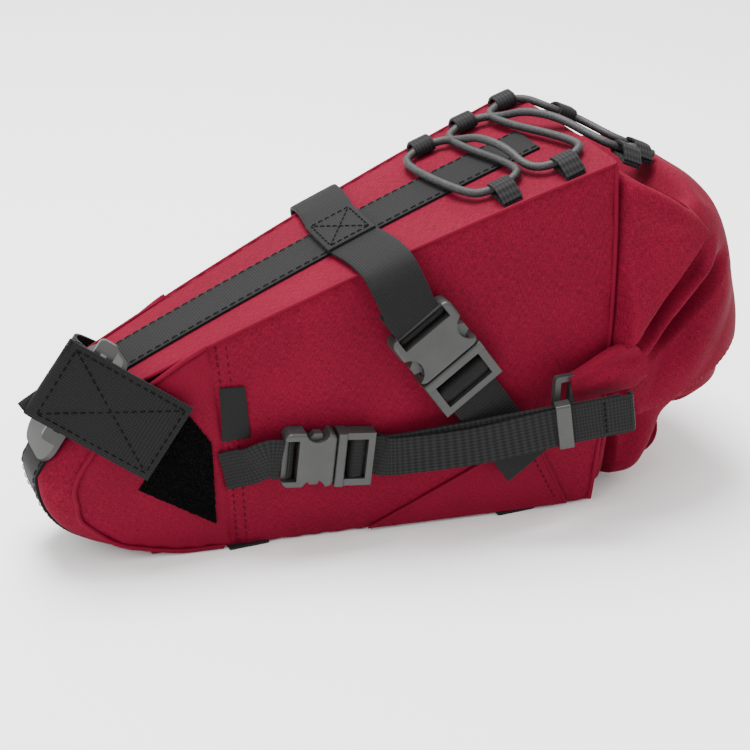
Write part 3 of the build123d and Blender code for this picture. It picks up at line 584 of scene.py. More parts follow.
# ---- wings, loop patch and side tab ----
# The wings are doubled cloth triangles that spread the pull of the lower straps. The loop patch is
# black pile for the seatpost strap, and the tab is a blank woven label sewn flat beside it.
def on_side(s, z, hand, stand_off):
    return Vector((FRONT + s, hand * (side_half(s, z) + stand_off), z))


def side_normal(s, z, hand):
    step = 0.001
    along = (side_half(s + step, z) - side_half(s - step, z)) / (2 * step)
    up = (side_half(s, z + step) - side_half(s, z - step)) / (2 * step)
    return Vector((-along, hand, -up)).normalized()


def flat_patch(name, corners, hand, stand_off, columns, rows, rough=0.0, puff=0.0):
    """A patch on the side, spread between four corners given as (station, height)."""
    a, b, c, d = [Vector(p) for p in corners]

    def place(u, v):
        p = a.lerp(d, v).lerp(b.lerp(c, v), u)
        rise = rough * noise.noise(Vector((p.x, p.y, 0.5)) * 1500)
        rise += rough * 0.6 * noise.noise(Vector((p.x, p.y, 4)) * 420)
        edge = min(u, 1 - u, v, 1 - v)
        return on_side(p.x, p.y, hand, stand_off + rise + puff * smooth(0, 0.3, edge))

    return shaped_grid(name, columns, rows, place, (b - a).length, (d - a).length)


pile, tree, shader = finish_material("loop_pile", 0.95, (0.012, 0.012, 0.013))
body = add_node(tree, 'ShaderNodeTexCoord').outputs["Object"]
loops = noise_of(tree, body, 1300.0, 4.0, 0.75)
coloured(tree, shader, loops, (0.0008, 0.0008, 0.0009), (0.0055, 0.0055, 0.006), 0.42, 0.68)
raised(tree, shader, loops, 1.0, 0.0008)
shader.inputs["Specular IOR Level"].default_value = 0.03

for hand, side in ((-1, "left"), (1, "right")):
    wing_corners = [(0.170, 0.002), (0.272, 0.002), (0.252, 0.041), (0.230, 0.0365)]
    wing = flat_patch(f"wing_cloth_{side}", wing_corners, hand, 0.0009, 60, 34, puff=0.0004)
    thicken(wing, 0.0009, 0, 0.0003)
    wing.data.materials.append(red_cloth)
    fold = [on_side(mix(0.171, 0.2300, t / 20), mix(0.0024, 0.0365, t / 20), hand, 0.0012) for t in range(21)]
    back = [on_side(mix(0.252, 0.2715, t / 20), mix(0.041, 0.0024, t / 20), hand, 0.0012) for t in range(21)]
    rims = [
        roll_line(f"wing_fold_{side}", fold, 0.0009, red_cloth),
        roll_line(f"wing_back_{side}", back, 0.0008, red_cloth),
    ]
    run = [on_side(mix(0.2475, 0.2665, t / 20), mix(0.0385, 0.004, t / 20), hand, 0.00155) for t in range(21)]
    rims.append(stitches(f"wing_stitching_{side}", run, Vector((0, hand, 0)), red_thread))
    tack = []
    for i in range(17):
        s, z = mix(0.2385, 0.2465, i / 16), mix(0.0368, 0.0378, i / 16)
        tack.append(on_side(s, z + (0.0016 if i % 2 else -0.0016), hand, 0.0016))
    rims.append(roll_line(f"wing_bartack_{side}", tack, 0.00028, red_thread))
    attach(wing, "bag")
    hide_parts(f"wing_{side}")
    for piece in rims:
        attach(piece, "bag")

patch_corners = [(0.060, 0.0395), (0.0955, 0.0165), (0.0935, 0.060), (0.0835, 0.0755)]
patch = flat_patch("loop_pile_patch", patch_corners, -1, 0.0007, 110, 90, 0.0008)
thicken(patch, 0.0012, 0)
patch.data.materials.append(pile)
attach(patch, "bag")
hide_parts("loop_patch")

label_cloth, tree, shader = finish_material("woven_label", 0.55, (0.011, 0.011, 0.012))
where = add_node(tree, 'ShaderNodeUVMap').outputs["UV"]
satin = thread_noise(tree, where, 0.0030, 0.00035)
coloured(tree, shader, satin, (0.002, 0.002, 0.0024), (0.008, 0.008, 0.0088))
shader.inputs["Specular IOR Level"].default_value = 0.12
label_corners = [(0.0985, 0.0605), (0.1115, 0.0615), (0.1095, 0.0875), (0.0980, 0.0875)]
label = flat_patch("blank_label", label_corners, -1, 0.0009, 16, 30)
thicken(label, 0.0006, 0, 0.0002)
label.data.materials.append(label_cloth)
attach(label, "bag")
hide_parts("side_tab")

# ---- saddle strap and its buckles ----
# One 25 mm strap goes over the top, doubled in the middle by a patch sewn with a crossed box, and
# turns round the bar of a moulded acetal side-release socket on each side.
plastic, tree, shader = finish_material("moulded_acetal", 0.48, (0.050, 0.051, 0.050))
body = add_node(tree, 'ShaderNodeTexCoord').outputs["Object"]
cloudy = noise_of(tree, body, 120.0, 3.0)
coloured(tree, shader, cloudy, (0.0135, 0.0140, 0.0137), (0.0215, 0.0220, 0.0214), 0.3, 0.75)
raised(tree, shader, noise_of(tree, body, 2200.0, 3.0), 0.25, 0.0002)

OTHER_PLASTIC = (
    "seatpost_ring",
    "seatpost_plate",
    "roll_hook_left",
    "roll_hook_right",
    "base_stiffener",
    "mouth_stiffener",
)
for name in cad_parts:
    if "buckle" in name or "keeper" in name or name in OTHER_PLASTIC:
        node = bpy.data.objects[name]
        node.data.materials.clear()
        node.data.materials.append(plastic)


class Mouth:
    """A buckle's own axes: x along the strap, z away from the bag."""

    def __init__(self, start, end, socket):
        self.x = (end - start).normalized()
        out = Vector((0, -1, 0))
        self.z = (out - self.x * out.dot(self.x)).normalized()
        self.origin = start + self.x * socket

    def spot(self, x, z):
        return self.origin + self.x * x + self.z * z


def other_side(path):
    return [(Vector((p.x, -p.y, p.z)), Vector((n.x, -n.y, n.z))) for p, n in path]


BAR = 0.0032
TURN = BAR / 2 + 0.00015 + WEB / 2


saddle = Mouth(on_side(0.186, 0.1165, -1, 0.00805), on_side(0.2145, 0.076, -1, 0.00805), 0.027)
bar_x = BAR / 2 - 0.027
STRAP_STATION = 0.172
slope = atan2(top_height(STRAP_STATION + 0.01) - top_height(STRAP_STATION - 0.01), 0.02)
up = Vector((-sin(slope), 0, cos(slope)))
middle = Vector((FRONT + STRAP_STATION, 0, top_height(STRAP_STATION))) + up * 0.0027
edge_s = STRAP_STATION + 0.003
edge_y = -side_half(edge_s, top_height(edge_s)) - 0.0018
edge_point = Vector((FRONT + edge_s, edge_y, top_height(edge_s))) + up * 0.0026
bend = (up + saddle.z).normalized()
corner = edge_point + Vector((0.0006, -0.0014, -0.0010))
slot_in = saddle.spot(bar_x - 0.008, TURN)
half_path = [
    (middle, up),
    (middle + Vector((0.0004, -0.012, 0)), up),
    (edge_point + Vector((-0.0006, 0.013, 0.0)), up),
    (corner, (up + bend * 0.8).normalized()),
    (corner.lerp(slot_in, 0.36) + bend * 0.0034, bend),
    (corner.lerp(slot_in, 0.70) + saddle.z * 0.0024, (bend + saddle.z).normalized()),
    (slot_in, saddle.z),
    (saddle.spot(bar_x - 0.001, TURN * 0.98), saddle.z),
]


def bar_wrap(mouth, x):
    """The stretch of webbing round a bar, from its outer face to its inner face."""
    path = []
    for i in range(9):
        angle = pi * i / 8
        out = mouth.x * sin(angle) + mouth.z * cos(angle)
        path.append((mouth.spot(x, 0) + out * TURN, out))
    return path


lower_layer = [
    (saddle.spot(bar_x - 0.004, -TURN), -saddle.z),
    (saddle.spot(bar_x - 0.014, -TURN + 0.0012), -saddle.z),
]
for side, flip in (("left", lambda path: path), ("right", other_side)):
    upper = webbing(f"saddle_webbing_{side}", flip(half_path), SADDLE_WEB, plain_web, 10, WEB, 0.0003)
    turned = flip(bar_wrap(saddle, bar_x + 0.0009) + lower_layer)
    wrap = webbing(f"saddle_turn_{side}", turned, SADDLE_WEB, plain_web, 1)
    foot = flip([(saddle.spot(bar_x - 0.010, 0), up)])[0][0]
    head = flip([(edge_point, up)])[0][0]
    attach(wrap, f"saddle_socket_{side}")
    tuple(head)
    tuple(foot)
    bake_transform(upper)
    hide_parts(f"saddle_strap_{side}")

patch_path = []
for i in range(9):
    y = mix(0.0150, -0.0150, i / 8)
    patch_path.append((Vector((middle.x, y, middle.z)) + up * (WEB * 0.98), up))
doubler = webbing("saddle_strap_doubler", patch_path, 0.0252, plain_web, 3)
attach(doubler, "bag")
crown = up * (WEB * 1.5 + 0.0001)
forward = Vector((up.z, 0, -up.x))
CROSSED_BOX = ((0, 1), (1, 2), (2, 3), (3, 0), (0, 2), (1, 3))   # its four sides and two diagonals
corners = []
for a, b in ((-1, -1), (1, -1), (1, 1), (-1, 1)):
    corners.append(middle + crown + forward * a * 0.0102 + Vector((0, b * 0.0125, 0)))
for number, (a, b) in enumerate(CROSSED_BOX):
    ends = [corners[a], corners[b]]
    row = stitches(f"saddle_box_stitch_{number}", ends, up, black_thread, 0.0026, 0.0009, 0.00034)
    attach(row, "bag")

# ---- saddle tails ----
# The lower webbing leaves the wing, goes up through the buckle's ladder and hangs back down as a
# free tail whose end is folded over twice and sewn, so that it can't pull through.
LADDER = 0.021
MIDDLE_BAR = 0.005 + (LADDER - 0.005 - 2 * BAR) / 2
END_BAR = LADDER - BAR
tail_end = 0.024 + 0.050
tail_path = [
    (saddle.spot(0.0095, -TURN - 0.0002), saddle.z),
    (saddle.spot(MIDDLE_BAR - 0.0010, -0.0008), -saddle.x + saddle.z * 0.3),
    (saddle.spot(MIDDLE_BAR - 0.0002, TURN * 0.85), (saddle.z - saddle.x).normalized()),
    (saddle.spot(MIDDLE_BAR + BAR / 2, TURN + 0.0001), saddle.z),
    (saddle.spot(MIDDLE_BAR + BAR + 0.0012, TURN * 0.85), saddle.z),
    (saddle.spot(END_BAR - 0.0005, 0.0000), saddle.z),
    (saddle.spot(LADDER + 0.002, -0.0006), saddle.z),
    (saddle.spot(0.038, -0.0018), saddle.z),
    (saddle.spot(0.055, -0.0032), saddle.z),
    (saddle.spot(tail_end, -0.0046), saddle.z),
]
fold_path = [
    (saddle.spot(0.0540, -0.0017), saddle.z),
    (saddle.spot(0.0640, -0.0024), saddle.z),
    (saddle.spot(tail_end - 0.0003, -0.0032), saddle.z),
]
root_path = [
    (saddle.spot(0.0095, -TURN - 0.0002), saddle.z),
    (saddle.spot(LADDER, -TURN - 0.0002), saddle.z),
    (on_side(0.226, 0.0585, -1, 0.0042), side_normal(0.226, 0.0585, -1)),
    (on_side(0.234, 0.0500, -1, 0.0032), side_normal(0.234, 0.050, -1)),
    (on_side(0.244, 0.0400, -1, 0.0024), side_normal(0.244, 0.040, -1)),
]
for side, flip in (("left", lambda path: path), ("right", other_side)):
    tail = webbing(f"saddle_tail_webbing_{side}", flip(tail_path), SADDLE_WEB, plain_web, 5, WEB, 0.0004)
    folded = webbing(f"saddle_tail_fold_{side}", flip(fold_path), 0.0246, plain_web, 8, WEB, 0.0002)
    root = webbing(f"saddle_root_webbing_{side}", flip(root_path), SADDLE_WEB, plain_web, 6)
    centre, outward = flip([(saddle.spot(0.0570, -0.0009), saddle.z)])[0]
    line_dir = flip([(Vector(), saddle.x.cross(saddle.z))])[0][1]
    ends = [centre - line_dir * 0.0115, centre + line_dir * 0.0115]
    row = stitches(f"saddle_tail_stitch_{side}", ends, outward, black_thread, 0.0022, 0.0008)
    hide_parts(f"saddle_tail_{side}")
    for piece in (tail, folded, root, row):
        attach(piece, "bag")

# ---- side straps ----
# Ribbed 20 mm webbing. A short root comes out of the nose seam to the socket; the long part goes
# round the ladder, runs doubled through a keeper and ends in a sewn loop beyond the roll's end.
compress = Mouth(on_side(0.124, 0.052, -1, 0.00615), on_side(0.168, 0.048, -1, 0.00615), 0.025)
side_bar = BAR / 2 - 0.025
SIDE_LADDER = 0.0185
side_middle = 0.005 + (SIDE_LADDER - 0.005 - 2 * BAR) / 2
side_end = SIDE_LADDER - BAR
ROLL_SIDE = 0.0534 + 0.009 + 0.0009
strap_from = compress.spot(SIDE_LADDER + 0.003, -0.001475)
knee = strap_from + compress.x * 0.009 + compress.z * 0.0024
strap_to = Vector((FRONT + 0.289, -(ROLL_SIDE + 0.014 + 0.009), 0.066))
run_out = (strap_to - knee).normalized()
run_face = (Vector((0, -1, 0)) + run_out * run_out.y).normalized()
layer = WEB / 2 + 0.0001
root_run = [
    (on_side(0.0985, 0.0448, -1, 0.0010), side_normal(0.100, 0.045, -1)),
    (on_side(0.1030, 0.0458, -1, 0.0014), side_normal(0.103, 0.046, -1)),
    (on_side(0.1100, 0.0475, -1, 0.0030), side_normal(0.110, 0.047, -1)),
    (compress.spot(side_bar - 0.008, TURN * 0.8), compress.z),
    (compress.spot(side_bar - 0.002, TURN), compress.z),
]
outer_run = [
    (compress.spot(0.0080, -TURN), compress.z),
    (compress.spot(side_middle - 0.0010, -0.0008), (compress.z * 0.3 - compress.x).normalized()),
    (compress.spot(side_middle - 0.0002, TURN * 0.85), (compress.z - compress.x).normalized()),
    (compress.spot(side_middle + BAR / 2, TURN + 0.0001), compress.z),
    (compress.spot(side_middle + BAR + 0.0010, TURN * 0.85), compress.z),
    (compress.spot(side_end - 0.0005, 0.0), compress.z),
    (strap_from + compress.z * (layer + 0.0006), compress.z),
    (knee + run_face * layer, run_face),
    (knee.lerp(strap_to, 0.33) + run_face * (layer + 0.0003) + Vector((0, 0, -0.0022)), run_face),
    (knee.lerp(strap_to, 0.66) + run_face * layer + Vector((0, 0, -0.0006)), run_face),
    (knee.lerp(strap_to, 0.82) + run_face * (layer + 0.0002), run_face),
    (strap_to + run_face * layer - run_out * 0.004, run_face),
]
inner_run = [
    (compress.spot(0.0080, -TURN), compress.z),
    (compress.spot(SIDE_LADDER, -TURN - 0.0001), compress.z),
    (strap_from - compress.z * layer, compress.z),
    (knee - run_face * layer + Vector((0, 0, 0.0010)), run_face),
    (knee.lerp(strap_to, 0.33) - run_face * (layer + 0.0002) + Vector((0, 0, 0.0006)), run_face),
    (knee.lerp(strap_to, 0.66) - run_face * layer + Vector((0, 0, 0.0004)), run_face),
    (knee.lerp(strap_to, 0.80) - run_face * layer, run_face),
    (strap_to - run_face * (layer + 0.0006) - run_out * 0.008, run_face),
]
loop_end = []
for i in range(7):
    angle = pi * i / 6
    out = run_out * sin(angle) + run_face * cos(angle)
    loop_end.append((strap_to - run_out * 0.004 - run_face * 0.0012 + out * (layer + 0.0010), out))
for side, flip in (("left", lambda path: path), ("right", other_side)):
    short = webbing(f"side_root_webbing_{side}", flip(root_run), SIDE_WEB, ribbed_web, 6, WEB, 0.0002)
    turned = flip(bar_wrap(compress, side_bar + 0.0009))
    turn = webbing(f"side_root_turn_{side}", turned, SIDE_WEB, ribbed_web, 1)
    outer = webbing(f"side_webbing_outer_{side}", flip(outer_run), SIDE_WEB, ribbed_web, 6, WEB, 0.0003)
    inner = webbing(f"side_webbing_inner_{side}", flip(inner_run), SIDE_WEB, ribbed_web, 6, WEB, 0.0003)
    loop = webbing(f"side_webbing_loop_{side}", flip(loop_end), SIDE_WEB, ribbed_web, 2)
    centre, outward = flip([(knee.lerp(strap_to, 0.86) + run_face * (2 * layer + 0.0002), run_face)])[0]
    line_dir = flip([(Vector(), run_out.cross(run_face))])[0][1]
    ends = [centre - line_dir * 0.009, centre + line_dir * 0.009]
    row = stitches(f"side_strap_stitch_{side}", ends, outward, black_thread, 0.0022, 0.0008)
    first, last = flip([(compress.spot(SIDE_LADDER + 0.004, 0), run_face), (strap_to, run_face)])
    for piece in (outer, inner, loop, row):
        tuple(first[0])
        tuple(last[0])
        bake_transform(piece)
    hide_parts(f"side_strap_{side}")
    for piece in (short, turn):
        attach(piece, "bag")
    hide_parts(f"side_strap_root_{side}")

# ---- seatpost strap ----
# A 40 mm strap sewn to the right side of the nose goes round the post and through a moulded ring,
# then folds back to the loop patch. Its loose end is two layers sewn with a long crossed box.
nose_tip = Vector((0.017, 0, 0.046))
brow = Vector((BROW_STATION, 0, top_height(BROW_STATION)))
face_up = (brow - nose_tip).normalized()
face_out = Vector((-face_up.z, 0, face_up.x))
brow_at = Vector((FRONT + brow.x, 0, brow.z))
POST_WEB = 0.040


def post_spot(x, y, z=0.0):
    """x stands off the nose's sloping face, y points to the bag's left and z runs up the post."""
    return brow_at + face_out * x + Vector((0, -y, 0)) + face_up * z


turn_in = Vector((0.016, 0.0212))
end_at = Vector((-0.036, side_half(0.072, 0.062) + 0.0064))
run = (end_at - turn_in).normalized()
face = Vector((run.y, -run.x))
end_length = (end_at - turn_in).length


def flat_out(x, y):
    return face_out * x + Vector((0, -y, 0))


root_y = -side_half(0.065, 0.070) - WEB / 2 - 0.0012
arch = [
    (post_spot(-0.026, root_y, -0.008), flat_out(0, -1)),
    (post_spot(-0.010, root_y + 0.0016, -0.008), flat_out(0.1, -1)),
    (post_spot(0.002, root_y + 0.0042, -0.008), flat_out(0.4, -1)),
    (post_spot(0.0070, -0.0155, -0.008), flat_out(0.7, -0.7)),
    (post_spot(0.0098, -0.0065, -0.006), flat_out(1, -0.3)),
    (post_spot(0.0122, 0.0040, -0.004), flat_out(1, -0.2)),
    (post_spot(0.0168, 0.0120, -0.002), flat_out(0.8, -0.6)),
    (post_spot(*(turn_in - run * 0.0060 - face * 0.0036)), flat_out(*-face)),
    (post_spot(*(turn_in - run * 0.0094 - face * 0.0016)), flat_out(*-run)),
    (post_spot(*(turn_in - run * 0.0070)), flat_out(*face)),
    (post_spot(*(turn_in + run * 0.0060)), flat_out(*face)),
    (post_spot(*(turn_in + run * 0.0200 + face * 0.0006)), flat_out(*face)),
    (post_spot(*(turn_in + run * 0.0360 + face * 0.0002)), flat_out(*face)),
    (post_spot(*(turn_in + run * (end_length - 0.0003))), flat_out(*face)),
]
post_strap = webbing("seatpost_webbing", arch, POST_WEB, plain_web, 9, WEB, 0.0004)
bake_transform(post_strap)
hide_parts("seatpost_strap", "seatpost_strap_end")
second = [
    (post_spot(*(turn_in + run * 0.0110 - face * 0.0012)), flat_out(*face)),
    (post_spot(*(turn_in + run * 0.0300 - face * 0.0012)), flat_out(*face)),
    (post_spot(*(turn_in + run * (end_length - 0.0010) - face * 0.0013)), flat_out(*face)),
]
backing = webbing("seatpost_strap_backing", second, POST_WEB - 0.0006, plain_web, 8, WEB * 0.9, 0.0002)
tape_path = [(p - flat_out(*face) * 0.0010, n) for p, n in second[1:]]
hook_tape = webbing("seatpost_hook_tape", tape_path, POST_WEB - 0.003, pile, 10, 0.0009)
sewn = []
for a, b in ((-0.005, -1), (-0.005, 1), (end_length - 0.003, 1), (end_length - 0.003, -1)):
    sewn.append(post_spot(*(turn_in + run * a + face * (WEB / 2 + 0.0002)), b * 0.0172))
for number, (a, b) in enumerate(CROSSED_BOX):
    ends = [sewn[a], sewn[b]]
    row = stitches(f"seatpost_stitch_{number}", ends, flat_out(*face), black_thread, 0.0028, 0.0010, 0.00034)
    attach(row, "strap_end")
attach(backing, "strap_end")
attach(hook_tape, "strap_end")
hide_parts("hook_patch")

# ---- collar and rolled mouth ----
# The mouth is an unsewn tube of the same cloth. It is rolled down and its ends are drawn forward
# along the sides, which gathers the cloth into deep folds that run in to each end of the roll.
CAP_DEPTH = 0.037


def wedge(p, tip, one, two):
    """How far a point is inside the wedge from tip towards one and two, in metres."""
    a, b = (one - tip).normalized(), (two - tip).normalized()
    if a.x * b.y - a.y * b.x < 0:
        a, b = b, a
    d = p - tip
    return min(a.x * d.y - a.y * d.x, -(b.x * d.y - b.y * d.x))


def ridge(p, a, b, width):
    """A long rounded fold from a to b that fades out at both ends."""
    run = b - a
    t = (p - a).dot(run) / run.length_squared
    away = (p - a - run * t).length
    return smooth(-0.15, 0.2, t) * (1 - smooth(0.8, 1.2, t)) * max(0.0, 1 - (away / width) ** 2) ** 2


LOBE = [Vector(p) for p in ((0.331, 0.146), (0.300, 0.182), (0.291, 0.094))]
FLAP = [Vector(p) for p in ((0.3007, 0.050), (0.281, 0.092), (0.362, 0.078))]
RIDGES = (                       # height, the two ends as (station, height) and half width
    (-0.0090, (0.330, 0.138), (0.300, 0.100), 0.0060),
    (0.0060, (0.340, 0.131), (0.296, 0.084), 0.0050),
    (-0.0095, (0.348, 0.124), (0.308, 0.088), 0.0065),
    (0.0030, (0.352, 0.112), (0.318, 0.070), 0.0120),
    (-0.0060, (0.350, 0.150), (0.318, 0.172), 0.0070),
    (-0.0080, (0.279, 0.050), (0.272, 0.004), 0.0040),
    (-0.0075, (0.296, 0.040), (0.298, 0.004), 0.0050),
    (0.0040, (0.287, 0.046), (0.283, 0.004), 0.0070),
    (0.0040, (0.316, 0.048), (0.309, 0.006), 0.0100),
    (-0.0065, (0.330, 0.052), (0.318, 0.010), 0.0050),
)


def side_folds(s, z):
    """The gathers on one side of the mouth, as height above the plain tube."""
    p = Vector((s, z))
    lobe, flap = wedge(p, *LOBE), wedge(p, *FLAP)
    height = 0.0088 * smooth(-0.0012, 0.0018, lobe) * (1 - 0.85 * smooth(0.003, 0.034, lobe))
    height += 0.0085 * smooth(-0.0010, 0.0020, flap) * (1 - 0.8 * smooth(0.005, 0.036, flap))
    for rise, one, other, width in RIDGES:
        height += rise * ridge(p, Vector(one), Vector(other), width)
    return height


def mouth_place(u, v):
    turn = 2 * pi * v
    ca, sa = -cos(turn), -sin(turn)
    if u < 0.5:
        s = mix(BODY_LENGTH - 0.0035, 0.330, u / 0.5)
        size, depth = 1.0, 0.0
    else:
        angle = (u - 0.5) / 0.5 * pi / 2
        s = 0.330 + CAP_DEPTH * sin(angle)
        size, depth = max(cos(angle), 0.0) ** 0.6, sin(angle)
    power = mix(9.0, 3.2, smooth(0.0, 0.75, u))
    reach = (abs(ca) ** power + abs(sa) ** power) ** (-1 / power)
    y, z = reach * ca, reach * sa
    high = mix(top_height(BODY_LENGTH) - 0.0012, 0.1600, smooth(0.283, 0.340, s))
    low = mix(BASE + 0.0006, 0.0105, smooth(0.290, 0.335, s))
    centre, half_high = (high + low) / 2, (high - low) / 2
    height = centre + z * half_high * size
    half = mix(side_half(BODY_LENGTH, height) - 0.0016, 0.0615, smooth(0.284, 0.315, s))
    below = smooth(0.058, 0.040, height)
    half -= 0.0085 * below * smooth(0.286, 0.300, s)
    side = y * half * size
    s -= 0.028 * below * smooth(0.318, 0.366, s)
    sag = smooth(0.0, 0.6, z) * (1 - smooth(0.55, 0.95, abs(y)))
    sag *= smooth(0.284, 0.298, s) * (1 - smooth(0.318, 0.338, s))
    height -= 0.020 * sag
    facing = smooth(0.25, 0.8, abs(y))
    folds = side_folds(s, height) if ca < 0 else side_folds(s + 0.002, height - 0.003)
    folds *= facing * smooth(BODY_LENGTH, BODY_LENGTH + 0.006, s)
    gap = -0.0035 * smooth(0.30, 0.9, abs(y)) * (1 - smooth(0.2860, 0.2925, s))
    grow = folds + gap + creases((s, side, height), 0.045, 0.0012, 2.2) * smooth(0.288, 0.310, s)
    outward = Vector((depth * 0.9, (1 if ca > 0 else -1) * facing * (1 - 0.6 * depth), 0))
    lobe = wedge(Vector((s, height)), *LOBE)
    over = smooth(-0.0005, 0.0030, lobe) * (1 - smooth(0.003, 0.020, lobe))
    over *= facing * (1 - depth) * smooth(0.095, 0.125, height)
    return Vector((FRONT + s + 0.0032 * over, side, height - 0.0018 * over)) + outward * grow


mouth_cloth = shaped_grid("rolled_mouth_cloth", 170, 460, mouth_place, 0.14, 0.48)
select_only(mouth_cloth)
close_up(weld=0.00002)
bpy.ops.object.shade_smooth_by_angle(angle=radians(45))
mouth_cloth.select_set(False)
mouth_cloth.data.materials.append(red_cloth)
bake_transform(mouth_cloth)
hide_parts("collar", "rolled_closure")


# The roll's two ends are drawn forward as flat folded bundles of cloth.
def ear_place(hand):
    def place(u, v):
        turn = 2 * pi * v
        s = mix(0.2605, 0.300, u)
        narrow = mix(0.52, 1.0, smooth(0.0, 0.7, u)) * (1 - 0.5 * smooth(0.8, 1.0, u))
        high = 0.0118 * narrow
        thick = 0.0046 * (0.55 + 0.45 * smooth(0.0, 0.5, u))
        centre = mix(0.0765, 0.0820, smooth(0, 1, u))
        fold = 0.0009 * sin(3 * turn + 4 * u)
        c, q = cos(turn), sin(turn)
        y = (abs(c) ** 0.6) * (1 if c > 0 else -1) * (thick + fold)
        z = (abs(q) ** 0.8) * (1 if q > 0 else -1) * (high + fold)
        skew = 0.006 * (z / 0.02) * (1 - u)
        y -= 0.0016 * ridge(Vector((s, centre + z)), Vector((0.262, 0.078)), Vector((0.300, 0.090)), 0.005)
        return Vector((FRONT + s - skew, hand * (ROLL_SIDE + 0.0062 + y), centre + z))

    return place


for hand, side in ((-1, "left"), (1, "right")):
    ear = shaped_grid(f"roll_end_cloth_{side}", 40, 64, ear_place(hand), 0.05, 0.09)
    select_only(ear)
    close_up(weld=0.00005, holes=80)
    bpy.ops.object.shade_smooth_by_angle(angle=radians(50))
    ear.data.materials.append(red_cloth)
    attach(ear, "roll")

# ---- shock cord and its loops ----
# A 4 mm braided shock cord is laced through folded loops of ribbed webbing sewn into the top
# seams and the collar. Both its ends go through one loop at the roll.
CORD = 0.004
CORD_RISE = 0.0025 + WEB + 0.0003
CROSSING_RISE = 0.0056
BORE_RUN = 0.0075
LOOP_INSET = 0.013
LOOP_LENGTH = 0.012
COLLAR_SLOPE = atan2(0.022, 0.050)


def lid_point(s, y, rise):
    if s <= BODY_LENGTH:
        return Vector((FRONT + s, y, top_height(s) + rise / cos(slope)))
    return Vector((FRONT + s, y, TOP_AT_MOUTH - (s - BODY_LENGTH) * tan(COLLAR_SLOPE) + rise / cos(COLLAR_SLOPE)))


def edge_loop(s, hand):
    return s, hand * (half_width(s) - LOOP_INSET)


front_left, middle_left, rear_left = edge_loop(0.236, -1), edge_loop(0.266, -1), (0.304, -0.028)
front_right, middle_right, rear_right = edge_loop(0.228, 1), edge_loop(0.252, 1), edge_loop(0.275, 1)
collar_right, tail_loop = (0.302, 0.026), (0.3265, 0.002)


def bore(spot, heading):
    s, y = spot
    return [lid_point(s + k * heading * BORE_RUN, y, CORD_RISE) for k in (-1, 1)]


def lead(spot, hand, end):
    s, y = spot
    return lid_point(s + end * (BORE_RUN + 0.0065), y - hand * 0.009, CORD_RISE)


def through(spot, hand, heading):
    return [lead(spot, hand, -heading), *bore(spot, heading), lead(spot, hand, heading)]


def lifted(before, after, first, second):
    lift = Vector((0, 0, CROSSING_RISE))
    return [before + (after - before) * first + lift, before + (after - before) * second + lift]


def cord_tail(side):
    s, y = tail_loop
    beside = y - LOOP_LENGTH / 2 + side * (CORD + 0.0008) / 2
    return [lid_point(s + step, beside, CORD_RISE) for step in (-0.009, 0.008)]


over = through(middle_right, 1, -1)
near_run = through(front_right, 1, 1)
far_run = through(middle_left, -1, 1)
route = [
    *reversed(cord_tail(-1)),
    *bore(rear_left, -1),
    lead(rear_left, -1, -1),
    *lifted(lead(rear_left, -1, -1), over[0], 0.35, 0.72),
    *over,
    *through(front_left, -1, -1),
    *near_run,
    *lifted(near_run[-1], far_run[0], 0.3, 0.7),
    *far_run,
    lead(rear_right, 1, -1),
    *bore(rear_right, 1),
    *bore(collar_right, 1),
    *cord_tail(1),
]
braid, tree, shader = finish_material("braided_cord", 0.62, (0.03, 0.03, 0.032))
where = add_node(tree, 'ShaderNodeTexCoord').outputs["Object"]
picks = noise_of(tree, where, 1000.0, 3.0)
coloured(tree, shader, picks, (0.0025, 0.0025, 0.0028), (0.020, 0.020, 0.021), 0.35, 0.7)
raised(tree, shader, picks, 0.6, 0.0004)
shock_cord = round_line("shock_cord", 'NURBS', route, CORD / 2, 4, braid, order=3)
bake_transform(shock_cord)
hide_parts("bungee_cord")


def cord_loop(name, spot, hand, reach, sink):
    """A strip of ribbed webbing folded round the cord, both ends running to the seam."""
    s, y = spot
    middle = lid_point(s, y, CORD_RISE)
    ahead, behind = lid_point(s - 0.004, y, CORD_RISE), lid_point(s + 0.004, y, CORD_RISE)
    along = (behind - ahead).normalized()
    up = Vector((-along.z, 0, along.x))
    out = Vector((0, hand, 0))
    bend = 0.0021 + WEB / 2
    path = [
        (middle + out * reach + up * (sink + 0.0016), up),
        (middle + out * reach * 0.5 + up * (bend * 0.9), up),
    ]
    for i in range(9):
        angle = pi * i / 8
        side = up * cos(angle) - out * sin(angle)
        path.append((middle + side * bend, side))
    path += [(middle + out * reach * 0.45 - up * bend, -up), (middle + out * reach + up * sink, -up)]
    return webbing(name, path, 0.0098, dark_rib, 4, WEB * 0.9)


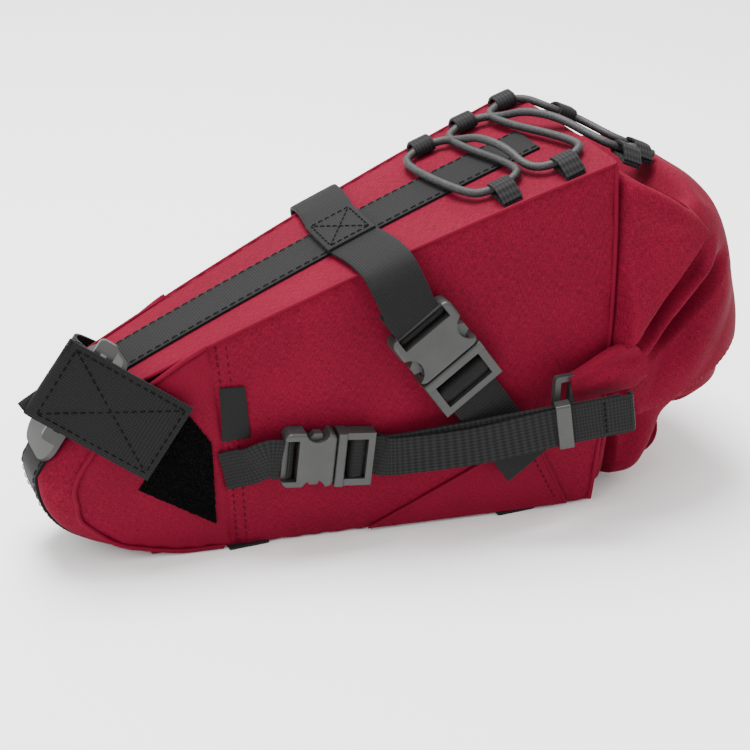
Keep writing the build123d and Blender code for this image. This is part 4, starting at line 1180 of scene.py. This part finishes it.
for side, spots in (
    ("left", ((front_left, -1), (middle_left, -1), (rear_left, -1))),
    ("right", ((front_right, 1), (middle_right, 1), (rear_right, 1), (collar_right, 1))),
):
    for number, (spot, hand) in enumerate(spots):
        sink = -0.0046 if spot[0] < BODY_LENGTH else -0.0044
        loop = cord_loop(f"cord_loop_{side}_{number}", spot, hand, LOOP_INSET - 0.0012, sink)
        if spot[0] < BODY_LENGTH:
            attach(loop, "bag")
        else:
            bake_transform(loop)
        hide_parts(f"cord_loops_{side}")
tail_spot = (tail_loop[0], tail_loop[1] - LOOP_LENGTH / 2 + 0.0024)
tail_fold = cord_loop("cord_tail_fold", tail_spot, -1, 0.0120, -0.0042)
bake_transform(tail_fold)
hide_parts("cord_tail_loop")

# ---- floor, light and camera ----
# A white table under a large soft light from above, a little behind the bag and to its left.
bpy.ops.mesh.primitive_plane_add(size=12, location=(0, 0, 0))
floor = bpy.context.object
floor.name = "floor"
floor.select_set(False)
pale, tree, shader = finish_material("pale_table", 0.6, (0.93, 0.928, 0.925))
floor.data.materials.append(pale)

world = bpy.data.worlds.new("soft_room")
bpy.context.scene.world = world
world.use_nodes = True
world.node_tree.nodes["Background"].inputs["Color"].default_value = (1.0, 0.99, 0.98, 1)
world.node_tree.nodes["Background"].inputs["Strength"].default_value = 1.6


def soft_light(name, place, aim, size, power):
    lamp = bpy.data.lights.new(name, 'AREA')
    lamp.shape = 'SQUARE'
    lamp.size = size
    lamp.energy = power
    holder = bpy.data.objects.new(name, lamp)
    bpy.context.collection.objects.link(holder)
    holder.location = place
    holder.rotation_euler = (Vector(place) - Vector(aim)).to_track_quat('Z', 'Y').to_euler()


soft_light("overhead", (-0.10, 0.35, 1.5), (0, 0, 0.08), 0.8, 60)
soft_light("window", (-1.4, -0.7, 0.9), (0, 0, 0.08), 0.9, 10)

azimuth, elevation, roll_angle = radians(-23.76), radians(26.54), radians(1.39)
target, distance = Vector((0.00011, -0.00044, 0.06221)), 0.9228
back = Vector((sin(azimuth) * cos(elevation), -cos(azimuth) * cos(elevation), sin(elevation)))
level = Vector((cos(azimuth), sin(azimuth), 0))
rise = back.cross(level)
across = level * cos(roll_angle) + rise * sin(roll_angle)
upward = rise * cos(roll_angle) - level * sin(roll_angle)
view = bpy.data.cameras.new("view")
view.sensor_width = 36.0
view.lens = 36.0 * 1871.5 / 750
view.clip_start = 0.05
camera = bpy.data.objects.new("view", view)
bpy.context.collection.objects.link(camera)
camera.location = target + back * distance
camera.rotation_euler = Matrix((across, upward, back)).transposed().to_euler()
bpy.context.scene.camera = camera
